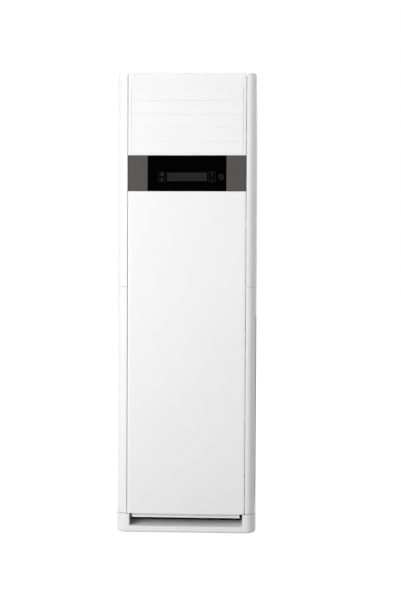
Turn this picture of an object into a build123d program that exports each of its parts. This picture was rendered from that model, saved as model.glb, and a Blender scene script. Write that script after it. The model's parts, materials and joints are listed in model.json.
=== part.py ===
from build123d import *
from math import asin, cos, degrees, radians, sin
import os

os.makedirs("parts", exist_ok=True)

# Floor standing air conditioner, indoor unit. Millimetres. +X is to the right of someone who
# faces the unit, -Y is its front, +Z is up. The origin is on the floor under its middle.

# ---------------------------------------------------------------- cabinet
WIDTH = 550.0  # across the plinth
HEIGHT = 1800.0  # floor to top
DEPTH = 330.0  # plinth front to the lips of the rear grommets
PLINTH_PROUD = 1.5  # the plinth stands out past the body
REAR_LIP = 2.0  # grommet lips and screw heads behind the rear panel
WALL = 2.5  # moulded shells
SHEET = 1.2  # folded steel
SEAM = 2.0  # shadow gap beside the front mouldings
PARTING = 0.5  # gap between mouldings that meet end to end
FIT = 0.3  # gap round a piece that lies in a recess or window
PIVOT_FIT = 0.06  # radial clearance of a running pin
LOOSE_FIT = 0.3  # radial clearance of a link bar's other pins
EDGE_R = 1.0  # broken edges of the mouldings
CORNER_DEPTH = 56.0  # how far back the front corners are rounded
REAR_CORNER_R = 8.0  # rear corners, in plan
SHOULDER_R = 14.0  # top outer corners, seen from the front

BODY_HALF = WIDTH / 2 - PLINTH_PROUD
PLINTH_FRONT = -DEPTH / 2
FRONT = PLINTH_FRONT + PLINTH_PROUD
BACK = DEPTH / 2 - REAR_LIP

# ---------------------------------------------------------------- front mouldings
PILLAR_WIDTH = 41.0
PILLAR_FLAT = 4.0  # flat strip between the seam and the rounded corner
PILLAR_DEPTH = 68.5
PILLAR_FLANGE = 24.0  # return beside the front panel
PILLAR_SPLIT = 967.0  # height where lower and upper pillars meet
PILLAR_GAP = 1.0  # line between lower and upper pillars
PILLAR_INNER = BODY_HALF - PILLAR_WIDTH
CORNER_WIDTH = PILLAR_WIDTH - PILLAR_FLAT
PILLAR_BACK = FRONT + PILLAR_DEPTH
PANEL_HALF = PILLAR_INNER - SEAM
PANEL_DEPTH = 22.0  # returns of the front panel, band and outlet frame
BEVEL_WIDTH = 8.0  # sloping border down both sides of the front
BEVEL_DROP = 1.8
PANEL_BAYS = 6  # between the stiffening ribs of the front panel
PANEL_CLIPS = 5  # down each side of the front panel
CLIP_HEIGHT = 30.0
CLIP_DEPTH = 8.0

CAP_HEIGHT = 53.0  # plain strip above the louvres
LOUVRE_COUNT = 5
LOUVRE_PITCH = 53.6
LAST_LOUVRE = 41.5  # the lowest louvre is narrower
SILL_HEIGHT = 10.0  # outlet frame below the louvres
BAND_HEIGHT = 139.5

OUTLET_TOP = HEIGHT - CAP_HEIGHT
OUTLET_BOTTOM = OUTLET_TOP - (LOUVRE_COUNT - 1) * LOUVRE_PITCH - LAST_LOUVRE
FRAME_BOTTOM = OUTLET_BOTTOM - SILL_HEIGHT
BAND_TOP = FRAME_BOTTOM - PARTING
BAND_BOTTOM = BAND_TOP - BAND_HEIGHT
PANEL_TOP = BAND_BOTTOM - PARTING

# ---------------------------------------------------------------- plinth and base
PLINTH_LIFT = 3.0  # the plinth hangs clear of the floor
PLINTH_TOP = 75.0
PLINTH_GAP = 2.0  # shadow gap between the plinth and the front mouldings
PLINTH_WALL = 3.0
PLINTH_EDGE_R = 6.0
PLINTH_RIM = 10.0  # inward rim along the bottom
PLINTH_RIM_T = 4.0
SLOT_END = 52.5  # plinth beside the front air inlet slot
SLOT_SILL = 27.5
SCOOP_FLAT = 12.0
SCOOP_R = 200.0
SCOOP_TURN = 19.2  # degrees that the scoop curves up
TONGUE_GAP = 10.5  # beside the lip of the front panel over the slot
TONGUE_SET = 8.0
TONGUE_SLOPE = 10.5
TONGUE_LIP = 6.0
TRAY_Z = 8.0
TRAY_FLANGE = 29.0
TRAY_GAP = 0.2
FOOT_R = 18.0
FOOT_INSET = 38.0
ANCHOR_R = 5.5  # for M10 floor anchors
ANCHOR_SPAN_X = 400.0
ANCHOR_SPAN_Y = 160.0

SLOT_HALF = WIDTH / 2 - SLOT_END
TONGUE_HALF = SLOT_HALF - TONGUE_GAP
PANEL_BOTTOM = PLINTH_TOP + PLINTH_GAP
SCOOP_BACK = PLINTH_FRONT + SCOOP_FLAT + SCOOP_R * sin(radians(SCOOP_TURN))
TRAY_FRONT = SCOOP_BACK + PLINTH_WALL + PARTING
TRAY_BACK = BACK - PLINTH_WALL - TRAY_GAP
TRAY_HALF = WIDTH / 2 - PLINTH_WALL - TRAY_GAP
TRAY_TOP = TRAY_Z + SHEET

# ---------------------------------------------------------------- cabinet skins
COVER_HEIGHT = 28.0
SIDE_LIP = 12.0  # flanges of the side panels
REAR_LAP = 18.5  # rear flange of a side panel, under the rear panel
SIDE_CORNER_R = 8.0
INTAKE_BOTTOM = 115.0
INTAKE_TOP = 856.0
INTAKE_SET = 35.5  # the intake starts this far behind the front, where the corner still turns
INTAKE_MARGIN = 73.0  # side panel behind the intake
GRILLE_SET = 3.0  # the grille lies back from the side
GRILLE_DEPTH = 5.0
GRILLE_BORDER = 10.0
SLAT_PITCH = 13.0
SLAT_HEIGHT = 7.0
SLAT_T = 1.5
GRILLE_RIB = (3.0, 2.0)  # width, depth of the upright rib behind the slats
FILTER_DEPTH = 3.0
FILTER_BORDER = 8.0
FILTER_INSET = 4.0
FILTER_MESH = 0.8
FILTER_RIB = 3.0
FILTER_ROWS = 6
SCREW_HEAD_R = 4.0
SCREW_R = 1.9
SCREW_LENGTH = 10.0
SCREW_ROWS = 8
SCREW_END = 26.0  # first and last screw from the ends of the rear panel
SCREW_INSET = 12.0
BEAD_COUNT = 5  # stiffening beads of the rear panel
BEAD_WIDTH = 12.0
BEAD_RISE = 1.0
BEAD_END = 70.0
PORT_INSET = 83.5  # ports of the pipes and the cable, from the sides
PORT_Z = 165.0
PIPE_PORT_R = 32.0
CABLE_PORT_R = 5.0
GROMMET_BODY = 5.0  # rubber round the port
GROMMET_FLANGE = 4.0

COVER_BOTTOM = HEIGHT - COVER_HEIGHT
SKIN_TOP = COVER_BOTTOM - PARTING
INTAKE_FRONT = FRONT + INTAKE_SET
INTAKE_BACK = BACK - INTAKE_MARGIN
PIPE_PORT = (BODY_HALF - PORT_INSET, PORT_Z)
CABLE_PORT = (-BODY_HALF + PORT_INSET, PORT_Z)
REAR_HALF = BODY_HALF - SIDE_CORNER_R - PARTING
SKIN_INNER = BODY_HALF - SHEET
REAR_INNER = BACK - SHEET  # outer face of the side panels' rear flanges

# ---------------------------------------------------------------- control band
FASCIA_HALF = 154.0
FASCIA_T = 2.0
WINDOW = (155.0, 32.5)  # width, height
WINDOW_Z = -14.0  # from the middle of the band
WINDOW_LEDGE = 3.0
KEY_SIZE = (23.0, 16.5)
KEY_R = 12.0  # the round key
KEY_COLUMN = 97.5
KEY_SPACING = 20.0
ROUND_KEY_X = 133.0
KEY_TRAVEL = 0.8
KEY_GAP = 0.4
KEY_PROUD = 1.0
KEY_COLLAR = 1.2
KEY_STEM = 6.0
SWITCH_HEIGHT = 4.5
BOARD_T = 1.6
BOARD_SIZE = (300.0, 84.0)
BOARD_BACK = 17.0  # rear face of the display board, behind the front
BOSS_R = 3.5
BOSS_INSET = 6.0

BAND_MIDDLE = (BAND_TOP + BAND_BOTTOM) / 2
BAND_REAR = FRONT + FASCIA_T + WALL  # rear face of the band's middle
BOARD_FACE = FRONT + BOARD_BACK - BOARD_T
WINDOW_MIDDLE = BAND_MIDDLE + WINDOW_Z
STEM_END = BOARD_FACE - SWITCH_HEIGHT - KEY_TRAVEL - PIVOT_FIT  # a key stops just before its switch

# ---------------------------------------------------------------- outlet
LOUVRE_GAP = 0.8  # beside the louvres
LOUVRE_BORDER = 12.0  # front face beside the louvres
LOUVRE_T = 2.2
LOUVRE_SET = 11.5  # pivot behind the front face
LOUVRE_PIN_R = 2.5
LOUVRE_BOSS_R = 4.5
LOUVRE_SPLIT = 0.3  # half of the line between two louvres
LOUVRE_LIP = 8.0
LOUVRE_TONGUE = 6.0
CRANK_REACH = 14.0  # crank pin behind the pivot, and as far above it
CRANK_PIN_R = 1.8
CRANK_BOSS_R = 3.5
LINK_T = 2.0
LINK_WIDTH = 8.0
LINK_GAP = 0.8
CRANK_T = 2.9
CRANK_GAP = 1.0
DUCT_OVERLAP = 4.0  # duct floor below the opening
DUCT_HEADROOM = 8.0  # duct roof above the opening, for the swing of the top louvre
TOP_RELIEF = 1.5  # slope of the opening's top edge
DUCT_DEPTH = 118.5
MOTOR_SET = 30.0  # motor shaft behind the louvre pivots
STEPPER_R = 14.0
STEPPER_LENGTH = 19.0
STEPPER_SHAFT_R = 3.0
STEPPER_SHAFT = 11.0
EARS = 7.0  # fixing ears of a stepper motor
VANE_COUNT = 5
VANE_END = 58.0  # duct wall to the outer vanes
VANE_T = 1.6
VANE_LEAD = 16.0  # ahead of the pivot
VANE_TAIL = 40.0  # behind the pivot
VANE_SET = 71.5  # pivots behind the front face
VANE_PIN_R = 2.0
VANE_GAP = 1.5
VANE_CRANK = 26.0
VANE_NOTCH = 9.0

LOUVRE_Y = FRONT + LOUVRE_SET
LOUVRE_HALF = PANEL_HALF - LOUVRE_BORDER
OPENING_HALF = LOUVRE_HALF + LOUVRE_GAP
DUCT_HALF = LOUVRE_HALF + 2 * LINK_GAP + LINK_T + CRANK_T + CRANK_GAP
DUCT_BACK = FRONT + DUCT_DEPTH
VANE_PITCH = 2 * (DUCT_HALF - VANE_END) / (VANE_COUNT - 1)
VANE_PIVOT_Y = FRONT + VANE_SET
DUCT_FLOOR = OUTLET_BOTTOM - DUCT_OVERLAP
DUCT_ROOF = OUTLET_TOP + DUCT_HEADROOM

# ---------------------------------------------------------------- blower
WHEEL_X = -27.0
WHEEL_Z = 450.0
WHEEL_R = 160.0
BLADE_DEPTH = 26.0  # tip to heel of a blade
WHEEL_WIDTH = 106.0
WHEEL_PLATE = 3.0
WHEEL_GAP = 7.0  # wheel to casing, front and back
BLADE_COUNT = 36
BLADE_T = 1.4
HUB_R = 20.0
HUB_LENGTH = 36.0
SHAFT_R = 6.0
SHAFT_TIP = 12.0  # shaft past the hub
NUT_HEIGHT = 8.0
NUT_WALL = 4.0
SCROLL_GAP = 18.0  # wheel to casing at the cut-off
SCROLL_STEP = 18.0  # growth of the scroll in each quarter turn
MOUTH_INSET = 30.0  # cut-off wall, right of the wheel's axis
BELL_R = 10.0
INLET_STEP = 16.0  # inlet inside the heels of the blades
MOTOR_R = 58.0
MOTOR_LENGTH = 62.0
MOTOR_GAP = 4.0  # casing to motor
MOTOR_CLEAR = 15.3  # motor to rear panel
MOTOR_STANDOFF = 20.0
MOTOR_FLANGE = 16.0
MOTOR_FLANGE_T = 3.0
MOTOR_BOSS_R = 6.0
MOTOR_HOLE_R = 24.0
LEG_T = 6.0
LEG_SPAN = 240.0

WHEEL_BORE_R = WHEEL_R - BLADE_DEPTH
INLET_R = WHEEL_BORE_R - INLET_STEP
SCROLL_R = WHEEL_R + SCROLL_GAP
MOTOR_BACK = REAR_INNER - MOTOR_CLEAR
MOTOR_FRONT = MOTOR_BACK - MOTOR_LENGTH
SCROLL_BACK = MOTOR_FRONT - MOTOR_GAP
SCROLL_FRONT = SCROLL_BACK - WHEEL_WIDTH - 2 * WHEEL_GAP - WALL
WHEEL_FRONT = SCROLL_FRONT + WHEEL_GAP
WHEEL_BACK = WHEEL_FRONT + WHEEL_WIDTH
MOUTH_LEFT = WHEEL_X + MOUTH_INSET
SCROLL_RIGHT = WHEEL_X + SCROLL_R + 3 * SCROLL_STEP

# ---------------------------------------------------------------- heat exchanger
DECK_Z = 903.0
PAN_SIDE = 36.3  # skin to drain pan
PAN_MARGIN = 18.3  # drain pan behind the coil
PAN_HEIGHT = 55.0
COIL_SIDE = 57.3  # skin to coil, with room for bends and pipes
COIL_HEIGHT = 480.0
COIL_DEPTH = 62.0
COIL_ROOM = 105.8  # depth that the leaning coil leaves free, front and back together
COIL_SHIFT = 6.3  # middle of the coil, ahead of the middle of its space
COIL_LIFT = 40.0  # lowest edge of the coil above the pan's floor
FIN_COUNT = 72
FIN_T = 0.8
COIL_CORE = 10.0
END_PLATE = 1.5
END_BORDER = 5.0
TUBE_R = 4.8
TUBE_PITCH = 38.0
SPOUT_INSET = 14.0
SPOUT_R = 10.0
SPOUT_LENGTH = 50.0
GAS_R = 7.94  # 5/8 in pipe
LIQUID_R = 4.76  # 3/8 in pipe
GAS_INSET = (22.3, 26.8)  # upright run, from the side and rear skins
LIQUID_INSET = (42.3, 19.8)
PIPE_END = 240.0
PIPE_WALL = 1.0
PIPE_BEND_R = 18.0
BEND_SHARE = (0.6, 0.48)  # how much of a short run across, and of one back, a bend may take
FLARE_HEIGHT = 20.0
FLARE_SET = 22.0
FLARE_T = 7.0
PIPE_CLEAR = 4.0  # holes in the deck round the pipes

DECK_TOP = DECK_Z + SHEET
PAN_FLOOR = DECK_TOP + WALL
DECK_BACK = REAR_INNER - SHEET - FIT
DECK_FRONT = FRONT + PILLAR_FLANGE + FIT
PAN_HALF = SKIN_INNER - PAN_SIDE
COIL_WIDTH = 2 * (SKIN_INNER - COIL_SIDE)
COIL_LEAN = REAR_INNER - DECK_FRONT - COIL_ROOM  # the coil's top stands back by this
TILT_SIN = COIL_LEAN / COIL_HEIGHT
COIL_TILT = asin(TILT_SIN)
TILT_COS = cos(COIL_TILT)
TUBE_ROWS = 2 * int(COIL_HEIGHT / (2 * TUBE_PITCH))  # tubes come in pairs
COIL_Y = (DECK_FRONT + REAR_INNER) / 2 - COIL_SHIFT
COIL_Z = PAN_FLOOR + COIL_LIFT + (COIL_HEIGHT * TILT_COS + COIL_DEPTH * TILT_SIN) / 2
PAN_BACK = COIL_Y - COIL_LEAN / 2 + COIL_DEPTH / 2 * TILT_COS + PAN_MARGIN
GAS_RUN = (SKIN_INNER - GAS_INSET[0], REAR_INNER - GAS_INSET[1])
LIQUID_RUN = (SKIN_INNER - LIQUID_INSET[0], REAR_INNER - LIQUID_INSET[1])
SPOUT_X, SPOUT_Y = -PAN_HALF + SPOUT_INSET, (DECK_FRONT + PAN_BACK) / 2

# ---------------------------------------------------------------- control box
BOX_INSET = (7.0, 5.0, 23.0)  # inside the blower's mouth: left, right, and below the deck
BOX_HEIGHT = 190.0
BOX_DEPTH = 60.0
BOX_WALL = 1.2
STANDOFF = 14.0
CARD_INSET = 12.0
LID_LAP = 8.0
CABLE_HOLE_R = 10.0


def facing(y, x=0.0, z=0.0):
    """A plane as someone in front of the unit sees it: its x is +X and its y is +Z."""
    return Plane(origin=(x, y, z), x_dir=(1, 0, 0), z_dir=(0, -1, 0))


def block(x, y, z, mode=Mode.ADD):
    """A box between pairs of limits along X, Y and Z."""
    middle = [(pair[0] + pair[1]) / 2 for pair in (x, y, z)]
    with Locations(tuple(middle)):
        Box(x[1] - x[0], y[1] - y[0], z[1] - z[0], mode=mode)


def rod(x, y, z, radius, mode=Mode.ADD):
    """A round bar: two of x, y and z are its axis, the third is the pair of its ends."""
    spans = {"X": x, "Y": y, "Z": z}
    along = next(name for name, value in spans.items() if isinstance(value, tuple))
    low, high = spans[along]
    start = [low if name == along else value for name, value in spans.items()]
    turn = {"X": (0, 90, 0), "Y": (-90, 0, 0), "Z": (0, 0, 0)}[along]
    with Locations(Location(tuple(start), turn)):
        Cylinder(radius, high - low, align=(Align.CENTER, Align.CENTER, Align.MIN), mode=mode)


def save(piece, name):
    """Labels a finished piece and writes it under its name."""
    piece.part.label = name
    export_step(piece.part, f"parts/{name}.step")


def save_pair(piece, name):
    """Writes a piece of the right side, and its mirror image for the left side."""
    with BuildPart() as twin:
        mirror(piece.part, about=Plane.YZ)
    save(piece, f"right_{name}")
    save(twin, f"left_{name}")


def cut_shoulders(inset=0.0):
    """Rounds the two top outer corners, seen from the front, of the part being built."""
    side, top, radius = BODY_HALF - inset, HEIGHT - inset, SHOULDER_R - inset
    with BuildSketch(facing(BACK + WALL)) as corners:
        with BuildLine():
            Polyline((side - radius, top), (side, top), (side, top - radius))
            CenterArc((side - radius, top - radius), radius, 0, 90)
        make_face()
        mirror(about=Plane.YZ)
    extrude(corners.sketch, amount=DEPTH + 2 * WALL, mode=Mode.SUBTRACT)


# ================================================================ plinth and base
def cabinet_plan(inset):
    """Plan of the plinth, drawn `inset` inside its outer face."""
    half = WIDTH / 2 - inset
    front, back = PLINTH_FRONT + inset, BACK - inset
    across, deep = CORNER_WIDTH + PLINTH_PROUD - inset, CORNER_DEPTH + PLINTH_PROUD - inset
    with BuildSketch() as outline:
        with BuildLine():
            EllipticalCenterArc((half - across, front + deep), across, deep, -90)
            EllipticalCenterArc((across - half, front + deep), across, deep, 180)
            Line((across - half, front), (half - across, front))
            Polyline(
                (half, front + deep), (half, back), (-half, back), (-half, front + deep)
            )
        make_face()
        if inset < REAR_CORNER_R:
            fillet(outline.vertices().group_by(Axis.Y)[-1], REAR_CORNER_R - inset)
    return outline.sketch


with BuildPart() as plinth:
    with BuildSketch(Plane.XY.offset(PLINTH_LIFT)):
        add(cabinet_plan(0))
    extrude(amount=PLINTH_TOP - PLINTH_LIFT)
    fillet(plinth.faces().sort_by(Axis.Z)[0].edges(), PLINTH_EDGE_R)
    fillet(plinth.faces().sort_by(Axis.Z)[-1].edges(), EDGE_R)
    with BuildSketch(Plane.XY.offset(PLINTH_LIFT)):
        add(cabinet_plan(PLINTH_RIM))
    extrude(amount=PLINTH_RIM_T, mode=Mode.SUBTRACT)
    with BuildSketch(Plane.XY.offset(PLINTH_LIFT + PLINTH_RIM_T)):
        add(cabinet_plan(PLINTH_WALL))
    extrude(amount=PLINTH_TOP, mode=Mode.SUBTRACT)
    # Front air inlet: a slot in the wall, with a curved floor and two cheeks behind it.
    slot_front = (PLINTH_FRONT - 1, PLINTH_FRONT + PLINTH_WALL)
    block((-SLOT_HALF, SLOT_HALF), slot_front, (SLOT_SILL, PLINTH_TOP + 1), Mode.SUBTRACT)
    with BuildSketch(Plane.YZ):
        with BuildLine():
            bend_y, bend_z = PLINTH_FRONT + SCOOP_FLAT, SLOT_SILL + SCOOP_R
            floor_line = Line((PLINTH_FRONT, SLOT_SILL), (bend_y, SLOT_SILL))
            rise = CenterArc((bend_y, bend_z), SCOOP_R, -90, SCOOP_TURN)
            under = CenterArc((bend_y, bend_z), SCOOP_R + PLINTH_WALL, -90, SCOOP_TURN)
            Line(rise @ 1, under @ 1)
            Line(under @ 0, (PLINTH_FRONT, SLOT_SILL - PLINTH_WALL))
            Line((PLINTH_FRONT, SLOT_SILL - PLINTH_WALL), (PLINTH_FRONT, SLOT_SILL))
        make_face()
    extrude(amount=SLOT_HALF + PLINTH_WALL, both=True)
    for side in (-1, 1):
        cheek = sorted((side * SLOT_HALF, side * (SLOT_HALF + PLINTH_WALL)))
        cheek_z = (PLINTH_LIFT + PLINTH_RIM_T, PLINTH_TOP - EDGE_R)
        block(cheek, (PLINTH_FRONT + PLINTH_WALL, SCOOP_BACK), cheek_z)
save(plinth, "plinth")

with BuildPart() as base_tray:
    tray_x, tray_y = (-TRAY_HALF, TRAY_HALF), (TRAY_FRONT, TRAY_BACK)
    block(tray_x, tray_y, (TRAY_Z, TRAY_Z + TRAY_FLANGE))
    fillet(base_tray.edges().filter_by(Axis.Z), REAR_CORNER_R - PLINTH_WALL)
    inner_x, inner_y = (-TRAY_HALF + SHEET, TRAY_HALF - SHEET), (TRAY_FRONT + SHEET, TRAY_BACK - SHEET)
    block(inner_x, inner_y, (TRAY_TOP, TRAY_Z + TRAY_FLANGE + 1), Mode.SUBTRACT)
    with Locations((0, (TRAY_FRONT + TRAY_BACK) / 2, TRAY_TOP)):
        with GridLocations(ANCHOR_SPAN_X, ANCHOR_SPAN_Y, 2, 2):
            Hole(ANCHOR_R)
save(base_tray, "base_tray")

with BuildPart() as rubber_feet:
    for foot_x in (-TRAY_HALF + FOOT_INSET, TRAY_HALF - FOOT_INSET):
        for foot_y in (TRAY_FRONT + FOOT_R + PARTING, TRAY_BACK - FOOT_R - PLINTH_RIM):
            rod(foot_x, foot_y, (0, TRAY_Z), FOOT_R)
    chamfer(rubber_feet.faces().group_by(Axis.Z)[0].edges(), EDGE_R)
save(rubber_feet, "rubber_feet")


# ================================================================ pillars and top cover
def pillar_plan(inset, back):
    """Plan of the right pillar, `inset` inside its skin and ending at `back`."""
    inner, outer = PILLAR_INNER + inset, BODY_HALF - inset
    front, across, deep = FRONT + inset, CORNER_WIDTH - inset, CORNER_DEPTH - inset
    with BuildSketch() as outline:
        with BuildLine():
            EllipticalCenterArc((outer - across, front + deep), across, deep, -90)
            Polyline(
                (outer, front + deep), (outer, back), (inner, back),
                (inner, front), (outer - across, front),
            )
        make_face()
        if inset == 0:
            fillet(outline.vertices().sort_by_distance((inner, front))[0], EDGE_R)
    return outline.sketch


def pillar(bottom, top):
    """A front corner pillar of the right side, a shell that is open at the back."""
    ceiling = min(top + 1, HEIGHT - WALL)
    with BuildPart() as hollow:
        with BuildSketch(Plane.XY.offset(bottom - 1)):
            add(pillar_plan(WALL, PILLAR_BACK + 1))
        extrude(amount=ceiling - bottom + 1)
        cut_shoulders(WALL)
    with BuildPart() as shell:
        with BuildSketch(Plane.XY.offset(bottom)):
            add(pillar_plan(0, PILLAR_BACK))
        extrude(amount=top - bottom)
        cut_shoulders()
        add(hollow.part, mode=Mode.SUBTRACT)
        flange_x = (PILLAR_INNER - 1, PILLAR_INNER + WALL)
        block(flange_x, (FRONT + PILLAR_FLANGE, PILLAR_BACK + 1), (bottom - 1, ceiling), Mode.SUBTRACT)
    return shell


with BuildPart() as lower_pillar:
    add(pillar(PANEL_BOTTOM, PILLAR_SPLIT).part)
    window_x = (BODY_HALF - CORNER_WIDTH, BODY_HALF + 1)
    block(window_x, (INTAKE_FRONT, PILLAR_BACK + 1), (INTAKE_BOTTOM, INTAKE_TOP), Mode.SUBTRACT)
save_pair(lower_pillar, "lower_pillar")
save_pair(pillar(PILLAR_SPLIT + PILLAR_GAP, HEIGHT), "upper_pillar")


def cover_plan(inset, front):
    """Plan of the top cover, `inset` inside its skin, from `front` to the back."""
    half, back = BODY_HALF - inset, BACK - inset
    with BuildSketch() as outline:
        with Locations((0, (front + back) / 2)):
            Rectangle(2 * half, back - front)
        fillet(outline.vertices().group_by(Axis.Y)[-1], REAR_CORNER_R - inset)
    return outline.sketch


with BuildPart() as cover_hollow:
    with BuildSketch(Plane.XY.offset(COVER_BOTTOM - 1)):
        add(cover_plan(WALL, PILLAR_BACK + PARTING + WALL))
    extrude(amount=HEIGHT - WALL - COVER_BOTTOM + 1)
    cut_shoulders(WALL)

with BuildPart() as top_cover:
    with BuildSketch(Plane.XY.offset(COVER_BOTTOM)):
        add(cover_plan(0, PILLAR_BACK + PARTING))
    extrude(amount=COVER_HEIGHT)
    cut_shoulders()
    add(cover_hollow.part, mode=Mode.SUBTRACT)
save(top_cover, "top_cover")

# ================================================================ side and rear skins
with BuildPart() as side_panel:
    with BuildSketch(Plane.XY.offset(PLINTH_TOP + PARTING)):
        with BuildLine():
            skin_front = PILLAR_BACK + PARTING
            FilletPolyline(
                (BODY_HALF - SIDE_LIP, skin_front), (BODY_HALF, skin_front),
                (BODY_HALF, REAR_INNER), (BODY_HALF - REAR_LAP, REAR_INNER),
                radius=(SHEET + EDGE_R, SIDE_CORNER_R),
            )
            offset(amount=SHEET, side=Side.LEFT)
        make_face()
    extrude(amount=SKIN_TOP - PLINTH_TOP - PARTING)
    skin_x = (BODY_HALF - 2 * SIDE_LIP, BODY_HALF + 1)
    block(skin_x, (skin_front - 1, INTAKE_BACK), (INTAKE_BOTTOM, INTAKE_TOP), Mode.SUBTRACT)

SCREW_X = BODY_HALF - SCREW_INSET
REAR_BOTTOM = PLINTH_TOP + PARTING
SCREW_RISE = (SKIN_TOP - REAR_BOTTOM - 2 * SCREW_END) / (SCREW_ROWS - 1)
SCREW_HEIGHTS = [REAR_BOTTOM + SCREW_END + row * SCREW_RISE for row in range(SCREW_ROWS)]

with BuildPart(mode=Mode.PRIVATE) as screw_holes:
    for height in SCREW_HEIGHTS:
        for screw_x in (-SCREW_X, SCREW_X):
            rod(screw_x, (BACK - SCREW_LENGTH, BACK + 1), height, SCREW_R + PIVOT_FIT)

with BuildPart() as drilled_side:
    add(side_panel.part)
    add(screw_holes.part, mode=Mode.SUBTRACT)
save_pair(drilled_side, "side_panel")

with BuildPart() as rear_panel:
    block((-REAR_HALF, REAR_HALF), (REAR_INNER, BACK), (REAR_BOTTOM, SKIN_TOP))
    fillet(rear_panel.edges().filter_by(Axis.Y), EDGE_R)
    bead_low = PIPE_PORT[1] + PIPE_PORT_R + BEAD_END
    with BuildSketch(facing(BACK)):
        with Locations((0, (bead_low + SKIN_TOP - BEAD_END) / 2)):
            with GridLocations(2 * REAR_HALF / BEAD_COUNT, 0, BEAD_COUNT, 1):
                SlotOverall(SKIN_TOP - BEAD_END - bead_low, BEAD_WIDTH, rotation=90)
    extrude(amount=-BEAD_RISE)
    fillet(rear_panel.faces().group_by(Axis.Y)[-1].edges(), BEAD_RISE * 0.9)
    add(screw_holes.part, mode=Mode.SUBTRACT)
    for (port_x, port_z), port_r in ((PIPE_PORT, PIPE_PORT_R), (CABLE_PORT, CABLE_PORT_R)):
        rod(port_x, (REAR_INNER - 1, BACK + 1), port_z, port_r + GROMMET_BODY, Mode.SUBTRACT)
save(rear_panel, "rear_panel")

with BuildPart() as rear_grommets:
    for (port_x, port_z), port_r in ((PIPE_PORT, PIPE_PORT_R), (CABLE_PORT, CABLE_PORT_R)):
        neck_r, flange_r = port_r + GROMMET_BODY, port_r + GROMMET_BODY + GROMMET_FLANGE
        rod(port_x, (REAR_INNER, BACK), port_z, neck_r)
        rod(port_x, (BACK, BACK + REAR_LIP), port_z, flange_r)
        rod(port_x, (REAR_INNER - 2 * REAR_LIP, REAR_INNER), port_z, flange_r)
        rod(port_x, (REAR_INNER - DEPTH, BACK + DEPTH), port_z, port_r, Mode.SUBTRACT)
    chamfer(rear_grommets.faces().group_by(Axis.Y)[-1].edges().group_by(SortBy.RADIUS)[-1], EDGE_R)
save(rear_grommets, "rear_grommets")

with BuildPart() as rear_screws:
    for height in SCREW_HEIGHTS:
        for screw_x in (-SCREW_X, SCREW_X):
            rod(screw_x, (BACK, BACK + REAR_LIP), height, SCREW_HEAD_R)
            rod(screw_x, (BACK - SCREW_LENGTH + EDGE_R, BACK), height, SCREW_R)
    head_rims = rear_screws.faces().group_by(Axis.Y)[-1].edges()
    fillet(head_rims, EDGE_R)
save(rear_screws, "rear_screws")

# ================================================================ side intakes
GRILLE_FRONT = INTAKE_FRONT + PARTING
GRILLE_BACK = INTAKE_BACK - PARTING
GRILLE_LOW = INTAKE_BOTTOM + PARTING
GRILLE_HIGH = INTAKE_TOP - PARTING
GRILLE_FACE = BODY_HALF - GRILLE_SET

with BuildSketch() as slat_plan:
    with BuildLine():
        # A sloping slat, lower at the outside.
        half_depth, half_rise = GRILLE_DEPTH / 2 - EDGE_R / 2, SLAT_HEIGHT / 2
        Polyline(
            (-half_depth, half_rise), (-half_depth, half_rise - SLAT_T),
            (half_depth, -half_rise), (half_depth, -half_rise + SLAT_T), close=True,
        )
    make_face()

with BuildPart() as intake_grille:
    grille_x = (GRILLE_FACE - GRILLE_DEPTH, GRILLE_FACE)
    block(grille_x, (GRILLE_FRONT, GRILLE_BACK), (GRILLE_LOW, GRILLE_HIGH))
    fillet(intake_grille.faces().sort_by(Axis.X)[-1].edges(), EDGE_R)
    open_y = (GRILLE_FRONT + GRILLE_BORDER, GRILLE_BACK - GRILLE_BORDER)
    open_z = (GRILLE_LOW + GRILLE_BORDER, GRILLE_HIGH - GRILLE_BORDER)
    block((grille_x[0] - 1, grille_x[1] + 1), open_y, open_z, Mode.SUBTRACT)
    slat_rows = int((open_z[1] - open_z[0]) / SLAT_PITCH)
    with BuildSketch(facing(open_y[1] + EDGE_R)):
        with Locations((GRILLE_FACE - GRILLE_DEPTH / 2, (open_z[0] + open_z[1]) / 2)):
            with GridLocations(0, SLAT_PITCH, 1, slat_rows):
                add(slat_plan.sketch)
    extrude(amount=open_y[1] - open_y[0] + 2 * EDGE_R)
    rib_middle = (open_y[0] + open_y[1]) / 2
    rib_y = (rib_middle - GRILLE_RIB[0] / 2, rib_middle + GRILLE_RIB[0] / 2)
    block((grille_x[0], grille_x[0] + GRILLE_RIB[1]), rib_y, (GRILLE_LOW + 1, GRILLE_HIGH - 1))
save_pair(intake_grille, "intake_grille")

with BuildPart() as air_filter:
    filter_x = (GRILLE_FACE - GRILLE_DEPTH - FILTER_DEPTH, GRILLE_FACE - GRILLE_DEPTH)
    filter_y = (GRILLE_FRONT + FILTER_INSET, GRILLE_BACK - FILTER_INSET)
    filter_z = (GRILLE_LOW + FILTER_INSET, GRILLE_HIGH - FILTER_INSET)
    block(filter_x, filter_y, filter_z)
    mesh_y = (filter_y[0] + FILTER_BORDER, filter_y[1] - FILTER_BORDER)
    mesh_z = (filter_z[0] + FILTER_BORDER, filter_z[1] - FILTER_BORDER)
    block(filter_x, mesh_y, mesh_z, Mode.SUBTRACT)
    mesh_x = (filter_x[0] + FILTER_MESH, filter_x[0] + 2 * FILTER_MESH)
    block(mesh_x, (mesh_y[0] - 1, mesh_y[1] + 1), (mesh_z[0] - 1, mesh_z[1] + 1))
    mesh_height, mesh_depth = mesh_z[1] - mesh_z[0], mesh_y[1] - mesh_y[0]
    with Locations((sum(filter_x) / 2, sum(mesh_y) / 2, sum(mesh_z) / 2)):
        Box(FILTER_DEPTH, FILTER_RIB, mesh_height + 2)
        for row in range(1, FILTER_ROWS):
            with Locations((0, 0, (row / FILTER_ROWS - 0.5) * mesh_height)):
                Box(FILTER_DEPTH, mesh_depth + 2, FILTER_RIB)
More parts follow.
